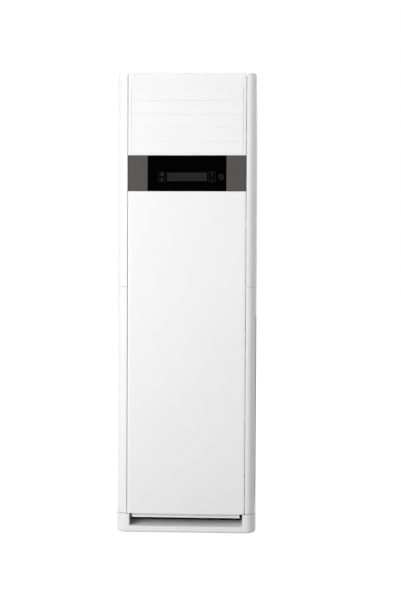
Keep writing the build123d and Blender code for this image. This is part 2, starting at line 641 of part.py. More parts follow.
save_pair(air_filter, "air_filter")


# ================================================================ front panel and band
def panel_plan(inset, back):
    """Plan of the front mouldings with their sloping borders, `inset` inside the skin."""
    half, front = PANEL_HALF - inset, FRONT + inset
    with BuildSketch() as outline:
        with BuildLine():
            Polyline(
                (-half, back), (-half, front + BEVEL_DROP), (-half + BEVEL_WIDTH, front),
                (half - BEVEL_WIDTH, front), (half, front + BEVEL_DROP), (half, back), close=True,
            )
        make_face()
    return outline.sketch


def clips(bottom, top, count):
    """Pads on both returns of a front moulding, which bear on the pillars' flanges."""
    clip_y = (FRONT + PANEL_DEPTH - CLIP_DEPTH, FRONT + PANEL_DEPTH)
    for row in range(count):
        middle = bottom + (row + 0.5) * (top - bottom) / count
        clip_z = (middle - CLIP_HEIGHT / 2, middle + CLIP_HEIGHT / 2)
        block((PANEL_HALF - WALL, PILLAR_INNER), clip_y, clip_z)
        block((-PILLAR_INNER, -PANEL_HALF + WALL), clip_y, clip_z)


PANEL_REAR = FRONT + PANEL_DEPTH
LIP_Y = FRONT + TONGUE_SET
LIP_TOP = PANEL_BOTTOM - TONGUE_SLOPE

with BuildPart() as front_panel:
    with BuildSketch(Plane.XY.offset(PANEL_BOTTOM)):
        add(panel_plan(0, PANEL_REAR))
    extrude(amount=PANEL_TOP - PANEL_BOTTOM)
    top_edge = front_panel.faces().sort_by(Axis.Z)[-1].edges().filter_by(Axis.X).sort_by(Axis.Y)[0]
    fillet(top_edge, EDGE_R)
    with BuildSketch(Plane.XY.offset(PANEL_BOTTOM + WALL)):
        add(panel_plan(WALL, PANEL_REAR + 1))
    extrude(amount=PANEL_TOP - PANEL_BOTTOM - 2 * WALL, mode=Mode.SUBTRACT)
    for rib in range(1, PANEL_BAYS):
        rib_z = PANEL_BOTTOM + rib * (PANEL_TOP - PANEL_BOTTOM) / PANEL_BAYS
        rib_x = (-PANEL_HALF + BEVEL_WIDTH, PANEL_HALF - BEVEL_WIDTH)
        rib_y = (FRONT + WALL / 2, FRONT + PANEL_DEPTH / 2)
        block(rib_x, rib_y, (rib_z - EDGE_R, rib_z + EDGE_R))
    # Tongue over the inlet slot: it slopes back under the panel and ends in an upright lip.
    with BuildSketch(Plane.YZ):
        with BuildLine():
            Polyline(
                (FRONT, PANEL_BOTTOM + WALL), (FRONT, PANEL_BOTTOM), (LIP_Y, LIP_TOP),
                (LIP_Y, LIP_TOP - TONGUE_LIP), (LIP_Y + WALL, LIP_TOP - TONGUE_LIP),
                (LIP_Y + WALL, PANEL_BOTTOM + WALL), close=True,
            )
        make_face()
    extrude(amount=TONGUE_HALF, both=True)
    clips(PANEL_BOTTOM, PANEL_TOP, PANEL_CLIPS)
save(front_panel, "front_panel")

KEYS = {
    "mode_key": (-KEY_COLUMN, WINDOW_MIDDLE + KEY_SPACING / 2),
    "fan_key": (-KEY_COLUMN, WINDOW_MIDDLE - KEY_SPACING / 2),
    "raise_key": (KEY_COLUMN, WINDOW_MIDDLE + KEY_SPACING / 2),
    "lower_key": (KEY_COLUMN, WINDOW_MIDDLE - KEY_SPACING / 2),
    "power_key": (ROUND_KEY_X, WINDOW_MIDDLE),
}


def key_face(name, grow):
    """Outline of a key, grown on every side, at its place on the front."""
    with Locations(KEYS[name]):
        if name == "power_key":
            Circle(KEY_R + grow)
        else:
            RectangleRounded(KEY_SIZE[0] + 2 * grow, KEY_SIZE[1] + 2 * grow, 2)


def cut_apertures(start, depth, window_grow):
    """Cuts the window and the keys' holes in the part being built, from `start` back."""
    with BuildSketch(facing(start)) as apertures:
        with Locations((0, WINDOW_MIDDLE)):
            Rectangle(WINDOW[0] + 2 * window_grow, WINDOW[1] + 2 * window_grow)
        for name in KEYS:
            key_face(name, KEY_GAP)
    extrude(apertures.sketch, amount=-depth, mode=Mode.SUBTRACT)


with BuildPart() as control_band:
    block((-PANEL_HALF, PANEL_HALF), (FRONT, PANEL_REAR), (BAND_BOTTOM, BAND_TOP))
    fillet(control_band.edges().filter_by(Axis.Z).group_by(Axis.Y)[0], EDGE_R)
    hollow_x = (-PANEL_HALF + WALL, PANEL_HALF - WALL)
    hollow_z = (BAND_BOTTOM + WALL, BAND_TOP - WALL)
    block(hollow_x, (BAND_REAR, PANEL_REAR + 1), hollow_z, Mode.SUBTRACT)
    recess_x = (-FASCIA_HALF - FIT, FASCIA_HALF + FIT)
    block(recess_x, (FRONT - 1, FRONT + FASCIA_T), (BAND_BOTTOM - 1, BAND_TOP + 1), Mode.SUBTRACT)
    cut_apertures(FRONT, 2 * (FASCIA_T + WALL), -WINDOW_LEDGE)
    boss_x, boss_z = BOARD_SIZE[0] - 2 * BOSS_INSET, BOARD_SIZE[1] - 2 * BOSS_INSET
    with Locations((0, BAND_REAR, BAND_MIDDLE)):
        with Locations(Rotation(90, 0, 0)):
            with GridLocations(boss_x, boss_z, 2, 2):
                Cylinder(BOSS_R, BOARD_FACE - BAND_REAR, align=(Align.CENTER, Align.CENTER, Align.MAX))
    clips(BAND_BOTTOM, BAND_TOP, 1)
save(control_band, "control_band")

with BuildPart() as display_fascia:
    fascia_x = (-FASCIA_HALF, FASCIA_HALF)
    block(fascia_x, (FRONT, FRONT + FASCIA_T), (BAND_BOTTOM, BAND_TOP))
    cut_apertures(FRONT - 1, FASCIA_T + 2, FIT)
save(display_fascia, "display_fascia")

with BuildPart() as display_window:
    with BuildSketch(facing(FRONT)):
        with Locations((0, WINDOW_MIDDLE)):
            Rectangle(*WINDOW)
    extrude(amount=-FASCIA_T)
save(display_window, "display_window")

for key_name in KEYS:
    with BuildPart() as key:
        with BuildSketch(facing(FRONT - KEY_PROUD)):
            key_face(key_name, 0)
        extrude(amount=-(BAND_REAR + FIT - FRONT + KEY_PROUD))
        fillet(key.faces().sort_by(Axis.Y)[0].edges(), KEY_GAP)
        with BuildSketch(facing(BAND_REAR + FIT)):
            key_face(key_name, KEY_COLLAR)
        extrude(amount=-KEY_COLLAR)
        with BuildSketch(facing(BAND_REAR + FIT + KEY_COLLAR)):
            with Locations(KEYS[key_name]):
                Rectangle(KEY_STEM, KEY_STEM)
        extrude(amount=-(STEM_END - BAND_REAR - FIT - KEY_COLLAR))
    save(key, key_name)

with BuildPart() as display_board:
    half_x, half_z = BOARD_SIZE[0] / 2, BOARD_SIZE[1] / 2
    board_z = (BAND_MIDDLE - half_z, BAND_MIDDLE + half_z)
    block((-half_x, half_x), (BOARD_FACE, BOARD_FACE + BOARD_T), board_z)
    module_x, module_half = WINDOW[0] / 2 - WINDOW_LEDGE - PARTING, WINDOW[1] / 2 - WINDOW_LEDGE
    module_z = (WINDOW_MIDDLE - module_half, WINDOW_MIDDLE + module_half)
    block((-module_x, module_x), (BAND_REAR + PARTING, BOARD_FACE), module_z)
    with BuildSketch(facing(BOARD_FACE)):
        with Locations(*KEYS.values()):
            Rectangle(KEY_STEM, KEY_STEM)
    extrude(amount=SWITCH_HEIGHT)
save(display_board, "display_board")

# ================================================================ outlet frame
LOUVRE_SPANS = [LOUVRE_PITCH] * (LOUVRE_COUNT - 1) + [LAST_LOUVRE]
LOUVRE_ZS = [OUTLET_TOP - sum(LOUVRE_SPANS[:row]) - LOUVRE_SPANS[row] / 2 for row in range(LOUVRE_COUNT)]
VANE_XS = [(column - (VANE_COUNT - 1) / 2) * VANE_PITCH for column in range(VANE_COUNT)]
CRANK_Y, CRANK_Z = LOUVRE_Y + MOTOR_SET, LOUVRE_ZS[LOUVRE_COUNT // 2]

with BuildPart() as outlet_frame:
    with BuildSketch(Plane.XY.offset(FRAME_BOTTOM)):
        add(panel_plan(0, PANEL_REAR))
    extrude(amount=HEIGHT - FRAME_BOTTOM)
    crown = outlet_frame.faces().sort_by(Axis.Z)[-1].edges().filter_by(Axis.X).sort_by(Axis.Y)[0]
    fillet(crown, 2 * EDGE_R)
    with BuildSketch(Plane.XY.offset(FRAME_BOTTOM + WALL)):
        add(panel_plan(WALL, PANEL_REAR + 1))
    extrude(amount=HEIGHT - FRAME_BOTTOM - 2 * WALL, mode=Mode.SUBTRACT)
    block((-PANEL_HALF, PANEL_HALF), (PANEL_REAR, PILLAR_BACK), (HEIGHT - WALL, HEIGHT))
    # Duct behind the opening.
    duct_y = (FRONT + WALL / 2, DUCT_BACK)
    block((-DUCT_HALF - WALL, DUCT_HALF + WALL), duct_y, (DUCT_FLOOR - WALL, DUCT_ROOF + WALL))
    block((-DUCT_HALF, DUCT_HALF), (FRONT + WALL, DUCT_BACK + 1), (DUCT_FLOOR, DUCT_ROOF), Mode.SUBTRACT)
    with BuildSketch(Plane.YZ):
        with BuildLine():
            Polyline(
                (FRONT - 1, OUTLET_BOTTOM), (FRONT - 1, OUTLET_TOP), (FRONT, OUTLET_TOP),
                (FRONT + WALL, OUTLET_TOP + TOP_RELIEF), (FRONT + 2 * WALL, OUTLET_TOP + TOP_RELIEF),
                (FRONT + 2 * WALL, OUTLET_BOTTOM), close=True,
            )
        make_face()
    extrude(amount=OPENING_HALF, both=True, mode=Mode.SUBTRACT)
    # Bearings of the louvres, the louvre crank and the vanes.
    for louvre_z in LOUVRE_ZS:
        wall_span = (-DUCT_HALF - WALL - 1, DUCT_HALF + WALL + 1)
        rod(wall_span, LOUVRE_Y, louvre_z, LOUVRE_PIN_R + PIVOT_FIT, Mode.SUBTRACT)
    left_wall = (-DUCT_HALF - WALL - 1, -DUCT_HALF + 1)
    rod(left_wall, CRANK_Y, CRANK_Z, STEPPER_SHAFT_R + PIVOT_FIT, Mode.SUBTRACT)
    for vane_x in VANE_XS:
        duct_span = (DUCT_FLOOR - 2 * WALL, DUCT_ROOF + 2 * WALL)
        rod(vane_x, VANE_PIVOT_Y, duct_span, VANE_PIN_R + PIVOT_FIT, Mode.SUBTRACT)
    clips(FRAME_BOTTOM, HEIGHT, 2)
save(outlet_frame, "outlet_frame")


# ================================================================ louvres
def louvre(middle, span):
    """A louvre blade with its end gussets, pivot pins and crank pin, closed."""
    face, rear = FRONT, FRONT + LOUVRE_T
    top, bottom = middle + span / 2 - LOUVRE_SPLIT, middle - span / 2 + LOUVRE_SPLIT
    step = LOUVRE_T + LOUVRE_GAP
    with BuildPart() as blade:
        with BuildSketch(Plane.YZ):
            with BuildLine():
                Polyline(
                    (face, top), (face, bottom + LOUVRE_LIP), (face + LOUVRE_GAP, bottom),
                    (rear, bottom), (rear, top - LOUVRE_TONGUE),
                    (face + 2 * step - LOUVRE_GAP, top - LOUVRE_TONGUE + step),
                    (face + 2 * step - LOUVRE_GAP, top + LOUVRE_TONGUE),
                    (face + step, top + LOUVRE_TONGUE), (face + step, top), close=True,
                )
            make_face()
        extrude(amount=LOUVRE_HALF, both=True)
        for side in (-1, 1):
            reach = CRANK_REACH if side < 0 else 0
            with BuildSketch(Plane.YZ.offset(side * LOUVRE_HALF)):
                with BuildLine():
                    Polyline(
                        (rear - EDGE_R, middle - CRANK_REACH), (rear - EDGE_R, middle + CRANK_REACH),
                        (LOUVRE_Y + reach, middle + reach + CRANK_BOSS_R),
                        (LOUVRE_Y + reach + CRANK_BOSS_R, middle + reach),
                        (LOUVRE_Y + LOUVRE_BOSS_R, middle - EDGE_R), close=True,
                    )
                make_face()
                with Locations((LOUVRE_Y, middle)):
                    Circle(LOUVRE_BOSS_R)
            extrude(amount=-side * LOUVRE_T)
            pin_end = side * (DUCT_HALF + WALL)
            rod(tuple(sorted((side * (LOUVRE_HALF - 1), pin_end))), LOUVRE_Y, middle, LOUVRE_PIN_R)
        crank_pin = (-LOUVRE_HALF - LINK_GAP - LINK_T - EDGE_R / 2, -LOUVRE_HALF + 1)
        rod(crank_pin, LOUVRE_Y + CRANK_REACH, middle + CRANK_REACH, CRANK_PIN_R)
    return blade


for row, (louvre_z, span) in enumerate(zip(LOUVRE_ZS, LOUVRE_SPANS), start=1):
    save(louvre(louvre_z, span), f"louvre_{row}")

LINK_Y = LOUVRE_Y + CRANK_REACH
LINK_OUTER = -LOUVRE_HALF - LINK_GAP - LINK_T

with BuildPart() as louvre_link:
    link_x = (LINK_OUTER, LINK_OUTER + LINK_T)
    link_y = (LINK_Y - LINK_WIDTH / 2, LINK_Y + LINK_WIDTH / 2)
    pin_zs = [louvre_z + CRANK_REACH for louvre_z in LOUVRE_ZS]
    block(link_x, link_y, (pin_zs[-1] - LINK_WIDTH / 2, pin_zs[0] + LINK_WIDTH / 2))
    ear_z = CRANK_Z + CRANK_REACH
    ear_y = (LINK_Y, LINK_Y + MOTOR_SET + LINK_WIDTH / 2)
    block(link_x, ear_y, (ear_z - LINK_WIDTH / 2, ear_z + LINK_WIDTH / 2))
    fillet(louvre_link.edges().filter_by(Axis.X), LINK_T)
    for pin_z in pin_zs:
        fit = PIVOT_FIT if pin_z == pin_zs[0] else LOOSE_FIT
        rod(link_x, LINK_Y, pin_z, CRANK_PIN_R + fit, Mode.SUBTRACT)
    rod(link_x, LINK_Y + MOTOR_SET, ear_z, CRANK_PIN_R + LOOSE_FIT, Mode.SUBTRACT)
save(louvre_link, "louvre_link")

with BuildPart() as louvre_crank:
    arm_outer, arm_inner = -DUCT_HALF + CRANK_GAP, LINK_OUTER - LINK_GAP
    arm_middle = (CRANK_Y + CRANK_REACH / 2, CRANK_Z + CRANK_REACH / 2)
    with BuildSketch(Plane.YZ.offset(arm_outer)):
        with Locations(arm_middle):
            SlotCenterToCenter(CRANK_REACH * 2**0.5, LINK_WIDTH, rotation=45)
    extrude(amount=arm_inner - arm_outer)
    rod((-DUCT_HALF - WALL - STEPPER_SHAFT, arm_outer + 1), CRANK_Y, CRANK_Z, STEPPER_SHAFT_R)
    rod((arm_inner - 1, LINK_OUTER + LINK_T), CRANK_Y + CRANK_REACH, CRANK_Z + CRANK_REACH, CRANK_PIN_R)
save(louvre_crank, "louvre_crank")

with BuildPart() as louvre_motor:
    can_x = (-DUCT_HALF - WALL - STEPPER_LENGTH, -DUCT_HALF - WALL)
    rod(can_x, CRANK_Y, CRANK_Z, STEPPER_R)
    fillet(louvre_motor.edges().sort_by(Axis.X)[0], EDGE_R)
    with BuildSketch(Plane.YZ.offset(can_x[1])):
        with Locations((CRANK_Y, CRANK_Z)):
            SlotOverall(2 * STEPPER_R + 4 * EARS, EARS, rotation=90)
            with PolarLocations(STEPPER_R + EARS, 2, start_angle=90):
                Circle(SCREW_R, mode=Mode.SUBTRACT)
    extrude(amount=-SHEET)
    rod((can_x[0] + WALL, can_x[1]), CRANK_Y, CRANK_Z, STEPPER_SHAFT_R + PIVOT_FIT, Mode.SUBTRACT)
save(louvre_motor, "louvre_motor")

# ================================================================ vanes
VANE_LOW, VANE_HIGH = DUCT_FLOOR + VANE_GAP, DUCT_ROOF - VANE_GAP
VANE_LINK_LOW = VANE_LOW + VANE_GAP
VANE_LINK_Y = VANE_PIVOT_Y + VANE_CRANK
DRIVEN_VANE = VANE_COUNT // 2

for column, vane_x in enumerate(VANE_XS):
    with BuildPart() as vane:
        vane_span = (vane_x - VANE_T / 2, vane_x + VANE_T / 2)
        block(vane_span, (VANE_PIVOT_Y - VANE_LEAD, VANE_PIVOT_Y + VANE_TAIL), (VANE_LOW, VANE_HIGH))
        front_edges = vane.edges().filter_by(Axis.Z).group_by(Axis.Y)[0]
        fillet(front_edges, VANE_T / 3)
        notch_y = (VANE_LINK_Y - LINK_WIDTH, VANE_PIVOT_Y + VANE_TAIL + 1)
        block(vane_span, notch_y, (VANE_LOW - 1, VANE_LOW + VANE_NOTCH), Mode.SUBTRACT)
        shaft_end = STEPPER_SHAFT if column == DRIVEN_VANE else 0
        lower_pin = (DUCT_FLOOR - WALL - shaft_end, VANE_LOW + VANE_NOTCH)
        rod(vane_x, VANE_PIVOT_Y, lower_pin, VANE_PIN_R)
        rod(vane_x, VANE_PIVOT_Y, (VANE_HIGH - VANE_NOTCH, DUCT_ROOF + WALL), VANE_PIN_R)
        rod(vane_x, VANE_LINK_Y, (VANE_LOW, VANE_LOW + VANE_NOTCH + 2 * EDGE_R), CRANK_PIN_R)
    save(vane, f"vane_{column + 1}")

with BuildPart() as vane_link:
    bar_y = (VANE_LINK_Y - LINK_WIDTH / 2, VANE_LINK_Y + LINK_WIDTH / 2)
    bar_x = (VANE_XS[0] - LINK_WIDTH, VANE_XS[-1] + LINK_WIDTH)
    block(bar_x, bar_y, (VANE_LINK_LOW, VANE_LINK_LOW + LINK_T))
    fillet(vane_link.edges().filter_by(Axis.Z), LINK_T)
    for column, vane_x in enumerate(VANE_XS):
        fit = PIVOT_FIT if column == 0 else LOOSE_FIT
        rod(vane_x, VANE_LINK_Y, (VANE_LOW, VANE_HIGH), CRANK_PIN_R + fit, Mode.SUBTRACT)
save(vane_link, "vane_link")

with BuildPart() as vane_motor:
    motor_x = VANE_XS[DRIVEN_VANE]
    can_z = (DUCT_FLOOR - WALL - STEPPER_LENGTH, DUCT_FLOOR - WALL)
    rod(motor_x, VANE_PIVOT_Y, can_z, STEPPER_R)
    fillet(vane_motor.edges().sort_by(Axis.Z)[0], EDGE_R)
    with BuildSketch(Plane.XY.offset(can_z[1])):
        with Locations((motor_x, VANE_PIVOT_Y)):
            SlotOverall(2 * STEPPER_R + 4 * EARS, EARS)
            with PolarLocations(STEPPER_R + EARS, 2):
                Circle(SCREW_R, mode=Mode.SUBTRACT)
    extrude(amount=-SHEET)
    rod(motor_x, VANE_PIVOT_Y, (can_z[0] + WALL, can_z[1]), VANE_PIN_R + PIVOT_FIT, Mode.SUBTRACT)
save(vane_motor, "vane_motor")


# ================================================================ blower
def scroll_plan(grow, top):
    """Outline of the scroll and its mouth as seen from the front, grown by a wall or not."""
    radius, step = SCROLL_R + grow, SCROLL_STEP
    left, right, crown = MOUTH_LEFT - grow, SCROLL_RIGHT + grow, WHEEL_Z + SCROLL_R + grow
    with BuildSketch() as outline:
        with BuildLine():
            CenterArc((WHEEL_X, WHEEL_Z), radius, 90, 90)
            CenterArc((WHEEL_X + step, WHEEL_Z), radius + step, 180, 90)
            CenterArc((WHEEL_X + step, WHEEL_Z + step), radius + 2 * step, 270, 90)
            Polyline(
                (right, WHEEL_Z + step), (right, top), (left, top), (left, crown), (WHEEL_X, crown)
            )
        make_face()
    return outline.sketch


LEG_XS = [WHEEL_X + SCROLL_STEP + side * LEG_SPAN / 2 for side in (-1, 1)]

with BuildPart() as volute_casing:
    with BuildSketch(facing(SCROLL_FRONT)):
        add(scroll_plan(WALL, DECK_Z))
    extrude(amount=-(SCROLL_BACK - SCROLL_FRONT))
    leg_y = (SCROLL_FRONT, SCROLL_BACK)
    for leg_x in LEG_XS:
        leg_z = (TRAY_TOP, WHEEL_Z - SCROLL_R / 2)
        block((leg_x - LEG_T / 2, leg_x + LEG_T / 2), leg_y, leg_z)
        block((leg_x - 3 * LEG_T, leg_x + 3 * LEG_T), leg_y, (TRAY_TOP, TRAY_TOP + WALL))
    with BuildSketch(facing(SCROLL_FRONT)):
        add(scroll_plan(0, DECK_Z + 1))
    extrude(amount=-(SCROLL_BACK - SCROLL_FRONT - WALL), mode=Mode.SUBTRACT)
    rod(WHEEL_X, (SCROLL_BACK - WALL - 1, SCROLL_BACK + 1), WHEEL_Z, MOTOR_HOLE_R, Mode.SUBTRACT)
    with BuildSketch(facing(SCROLL_BACK, WHEEL_X, WHEEL_Z)):
        with PolarLocations(MOTOR_R + MOTOR_FLANGE / 2, 4, start_angle=45):
            Circle(MOTOR_BOSS_R)
    extrude(amount=-MOTOR_STANDOFF)
save(volute_casing, "volute_casing")

with BuildPart() as inlet_plate:
    with BuildSketch(facing(SCROLL_FRONT)):
        add(scroll_plan(WALL, DECK_Z))
        with Locations((WHEEL_X, WHEEL_Z)):
            Circle(INLET_R + BELL_R, mode=Mode.SUBTRACT)
    extrude(amount=WALL)
    # Bell mouth: a rounded lip that leads the air into the wheel.
    with BuildSketch(Plane(origin=(WHEEL_X, SCROLL_FRONT, WHEEL_Z))):
        with BuildLine():
            mouth = (INLET_R + BELL_R, BELL_R - WALL)
            outer_lip = CenterArc(mouth, BELL_R, 180, 90)
            inner_lip = CenterArc(mouth, BELL_R - WALL, 180, 90)
            Line(outer_lip @ 0, inner_lip @ 0)
            Line(outer_lip @ 1, inner_lip @ 1)
        make_face()
    revolve(axis=Axis((WHEEL_X, 0, WHEEL_Z), (0, 1, 0)))
save(inlet_plate, "inlet_plate")

with BuildSketch() as blade_plan:
    with BuildLine():
        # Forward curved blade, given as radius and angle of three points.
        blade_points = [(WHEEL_BORE_R + 2, 0), ((WHEEL_R + WHEEL_BORE_R) / 2, 1), (WHEEL_R - 1, 6)]
        ThreePointArc(*[Vector(reach, 0).rotate(Axis.Z, turn) for reach, turn in blade_points])
    trace(line_width=BLADE_T)

with BuildPart() as blower_wheel:
    rod(WHEEL_X, (WHEEL_BACK - WHEEL_PLATE, WHEEL_BACK), WHEEL_Z, WHEEL_R)
    rod(WHEEL_X, (WHEEL_BACK - HUB_LENGTH, WHEEL_BACK), WHEEL_Z, HUB_R)
    with BuildSketch(facing(WHEEL_FRONT, WHEEL_X, WHEEL_Z)):
        Circle(WHEEL_R)
        Circle(WHEEL_BORE_R, mode=Mode.SUBTRACT)
    extrude(amount=-WHEEL_PLATE)
    with BuildSketch(facing(WHEEL_FRONT + WHEEL_PLATE / 2, WHEEL_X, WHEEL_Z)):
        with PolarLocations(0, BLADE_COUNT):
            add(blade_plan.sketch)
    extrude(amount=-(WHEEL_WIDTH - WHEEL_PLATE))
    rod(WHEEL_X, (WHEEL_FRONT - 1, WHEEL_BACK + 1), WHEEL_Z, SHAFT_R, Mode.SUBTRACT)
save(blower_wheel, "blower_wheel")

HUB_FRONT = WHEEL_BACK - HUB_LENGTH
SHAFT_BACK = MOTOR_BACK - 2 * MOTOR_BOSS_R

with BuildPart() as motor_shaft:
    rod(WHEEL_X, (HUB_FRONT - SHAFT_TIP, SHAFT_BACK), WHEEL_Z, SHAFT_R)
    chamfer(motor_shaft.edges(), EDGE_R)
save(motor_shaft, "motor_shaft")

with BuildPart() as wheel_nut:
    with BuildSketch(facing(HUB_FRONT, WHEEL_X, WHEEL_Z)):
        RegularPolygon(SHAFT_R + NUT_WALL, 6)
        Circle(SHAFT_R, mode=Mode.SUBTRACT)
    extrude(amount=NUT_HEIGHT)
save(wheel_nut, "wheel_nut")

with BuildPart() as fan_motor:
    rod(WHEEL_X, (MOTOR_FRONT, MOTOR_BACK), WHEEL_Z, MOTOR_R)
    fillet(fan_motor.edges().filter_by(GeomType.CIRCLE), BELL_R)
    flange_front = SCROLL_BACK + MOTOR_STANDOFF
    rod(WHEEL_X, (flange_front, flange_front + MOTOR_FLANGE_T), WHEEL_Z, MOTOR_R + MOTOR_FLANGE)
    rod(WHEEL_X, (MOTOR_FRONT - 1, SHAFT_BACK + 1), WHEEL_Z, SHAFT_R + PIVOT_FIT, Mode.SUBTRACT)
save(fan_motor, "fan_motor")

# ================================================================ fan deck and drain pan
FLANGE_REAR = PILLAR_BACK + PARTING + SHEET

with BuildPart() as fan_deck:
    skin_fit = SKIN_INNER - FIT
    block((-skin_fit, skin_fit), (FLANGE_REAR + FIT, DECK_BACK), (DECK_Z, DECK_TOP))
    fillet(fan_deck.edges().filter_by(Axis.Z).group_by(Axis.Y)[-1], SIDE_CORNER_R + EDGE_R)
    lip_fit = BODY_HALF - SIDE_LIP - FIT
    block((-lip_fit, lip_fit), (DECK_FRONT, FLANGE_REAR + 1), (DECK_Z, DECK_TOP))
    cut_z = (DECK_Z - 1, DECK_TOP + 1)
    block((MOUTH_LEFT, SCROLL_RIGHT), (SCROLL_FRONT, SCROLL_BACK - WALL), cut_z, Mode.SUBTRACT)
    rod(*GAS_RUN, cut_z, GAS_R + PIPE_CLEAR, Mode.SUBTRACT)
    rod(*LIQUID_RUN, cut_z, LIQUID_R + PIPE_CLEAR, Mode.SUBTRACT)
    rod(SPOUT_X, SPOUT_Y, cut_z, SPOUT_R + PARTING, Mode.SUBTRACT)
save(fan_deck, "fan_deck")

with BuildPart() as drain_pan:
    block((-PAN_HALF, PAN_HALF), (DECK_FRONT, PAN_BACK), (DECK_TOP, DECK_TOP + PAN_HEIGHT))
    fillet(drain_pan.edges().filter_by(Axis.Z), 2 * WALL)
    pan_x, pan_y = (-PAN_HALF + WALL, PAN_HALF - WALL), (DECK_FRONT + WALL, PAN_BACK - WALL)
    block(pan_x, pan_y, (PAN_FLOOR, DECK_TOP + PAN_HEIGHT + 1), Mode.SUBTRACT)
    spout_z = (DECK_Z - SPOUT_LENGTH, PAN_FLOOR)
    rod(SPOUT_X, SPOUT_Y, spout_z, SPOUT_R)
    rod(SPOUT_X, SPOUT_Y, (spout_z[0] - 1, PAN_FLOOR + 1), SPOUT_R - WALL, Mode.SUBTRACT)
save(drain_pan, "drain_pan")

# ================================================================ evaporator
# Coil coordinates: X along the tubes, then through the coil, then up its slope.
COIL_PLANE = Plane(origin=(0, COIL_Y, COIL_Z), x_dir=(1, 0, 0), z_dir=(0, TILT_SIN, TILT_COS))
COIL_END = COIL_WIDTH / 2 + END_PLATE
TUBE_ROW_GAP = TUBE_PITCH * 3**0.5 / 2

with BuildPart() as evaporator_fins:
    with Locations(COIL_PLANE):
        Box(COIL_WIDTH, COIL_CORE, COIL_HEIGHT)
        with GridLocations((COIL_WIDTH - FIN_T) / (FIN_COUNT - 1), 0, FIN_COUNT, 1):
            Box(FIN_T, COIL_DEPTH, COIL_HEIGHT)
save(evaporator_fins, "evaporator_fins")

with BuildPart() as evaporator_ends:
    for side in (-1, 1):
        with BuildSketch(Plane.YZ.offset(side * COIL_WIDTH / 2)):
            with Locations((COIL_Y, COIL_Z)):
                plate_size = (COIL_DEPTH + 2 * END_BORDER, COIL_HEIGHT + 2 * END_BORDER)
                Rectangle(*plate_size, rotation=-degrees(COIL_TILT))
            # A foot in the drain pan, and an ear that reaches the rear panel.
            foot_y = COIL_Y - COIL_LEAN / 2
            foot_z = COIL_Z - TILT_COS * COIL_HEIGHT / 2
            with Locations((foot_y, (foot_z + PAN_FLOOR) / 2)):
                Rectangle(COIL_DEPTH / 2, foot_z - PAN_FLOOR)
            ear_y, ear_z = REAR_INNER - FIT, COIL_Z + TILT_COS * COIL_HEIGHT / 3
            with Locations(((COIL_Y + ear_y) / 2, ear_z)):
                Rectangle(ear_y - COIL_Y, COIL_DEPTH)
        extrude(amount=side * END_PLATE)
save(evaporator_ends, "evaporator_ends")


def tube(row, number):
    """Where a tube leaves the end plate: y and z of tube `number` in the front or rear row."""
    along = (number - (TUBE_ROWS - 1) / 2) * TUBE_PITCH - (TUBE_PITCH / 2 if row else 0)
    through = TUBE_ROW_GAP / 2 if row else -TUBE_ROW_GAP / 2
    return (
        COIL_Y + along * TILT_SIN + through * TILT_COS,
        COIL_Z + along * TILT_COS - through * TILT_SIN,
    )


with BuildPart() as one_bend:
    with BuildSketch(Plane.XY):
        with Locations((TUBE_PITCH / 2, 0)):
            Circle(TUBE_R)
    revolve(axis=Axis.Y, revolution_arc=180)

BEND_PAIRS = [(-1, (row, n), (row, n + 1)) for row in (0, 1) for n in range(0, TUBE_ROWS, 2)]
BEND_PAIRS += [(1, (row, n), (row, n + 1)) for row in (0, 1) for n in range(1, TUBE_ROWS - 1, 2)]
BEND_PAIRS += [(1, (0, 0), (1, 0))]

with BuildPart() as return_bends:
    for side, first, second in BEND_PAIRS:
        (y_1, z_1), (y_2, z_2) = tube(*first), tube(*second)
        middle = (side * COIL_END, (y_1 + y_2) / 2, (z_1 + z_2) / 2)
        with Locations(Plane(origin=middle, x_dir=(0, y_2 - y_1, z_2 - z_1), z_dir=(-side, 0, 0))):
            add(one_bend.part)
save(return_bends, "return_bends")


def pipe_run(start, run, radius):
    """A pipe from a tube of the coil, round the side and down to the flare nut."""
    (y, z), (run_x, run_y) = start, run
    bend_room = min((run_x - COIL_END) * BEND_SHARE[0], (run_y - y) * BEND_SHARE[1])
    with BuildPart() as pipe:
        with BuildLine() as route:
            FilletPolyline(
                (COIL_END, y, z), (run_x, y, z), (run_x, run_y, z), (run_x, run_y, PIPE_END),
                radius=min(PIPE_BEND_R, bend_room),
            )
        with BuildSketch(Plane(origin=route.line @ 0, z_dir=route.line % 0)):
            Circle(radius)
            Circle(radius - PIPE_WALL, mode=Mode.SUBTRACT)
        sweep()
    return pipe


save(pipe_run(tube(1, TUBE_ROWS - 1), GAS_RUN, GAS_R), "gas_pipe")
save(pipe_run(tube(0, TUBE_ROWS - 1), LIQUID_RUN, LIQUID_R), "liquid_pipe")

with BuildPart() as flare_nuts:
    with BuildSketch(Plane.XY.offset(PIPE_END + FLARE_SET)):
        for run, radius in ((GAS_RUN, GAS_R), (LIQUID_RUN, LIQUID_R)):
            with Locations(run):
                RegularPolygon(radius + FLARE_T, 6)
                Circle(radius, mode=Mode.SUBTRACT)
    extrude(amount=FLARE_HEIGHT)
save(flare_nuts, "flare_nuts")

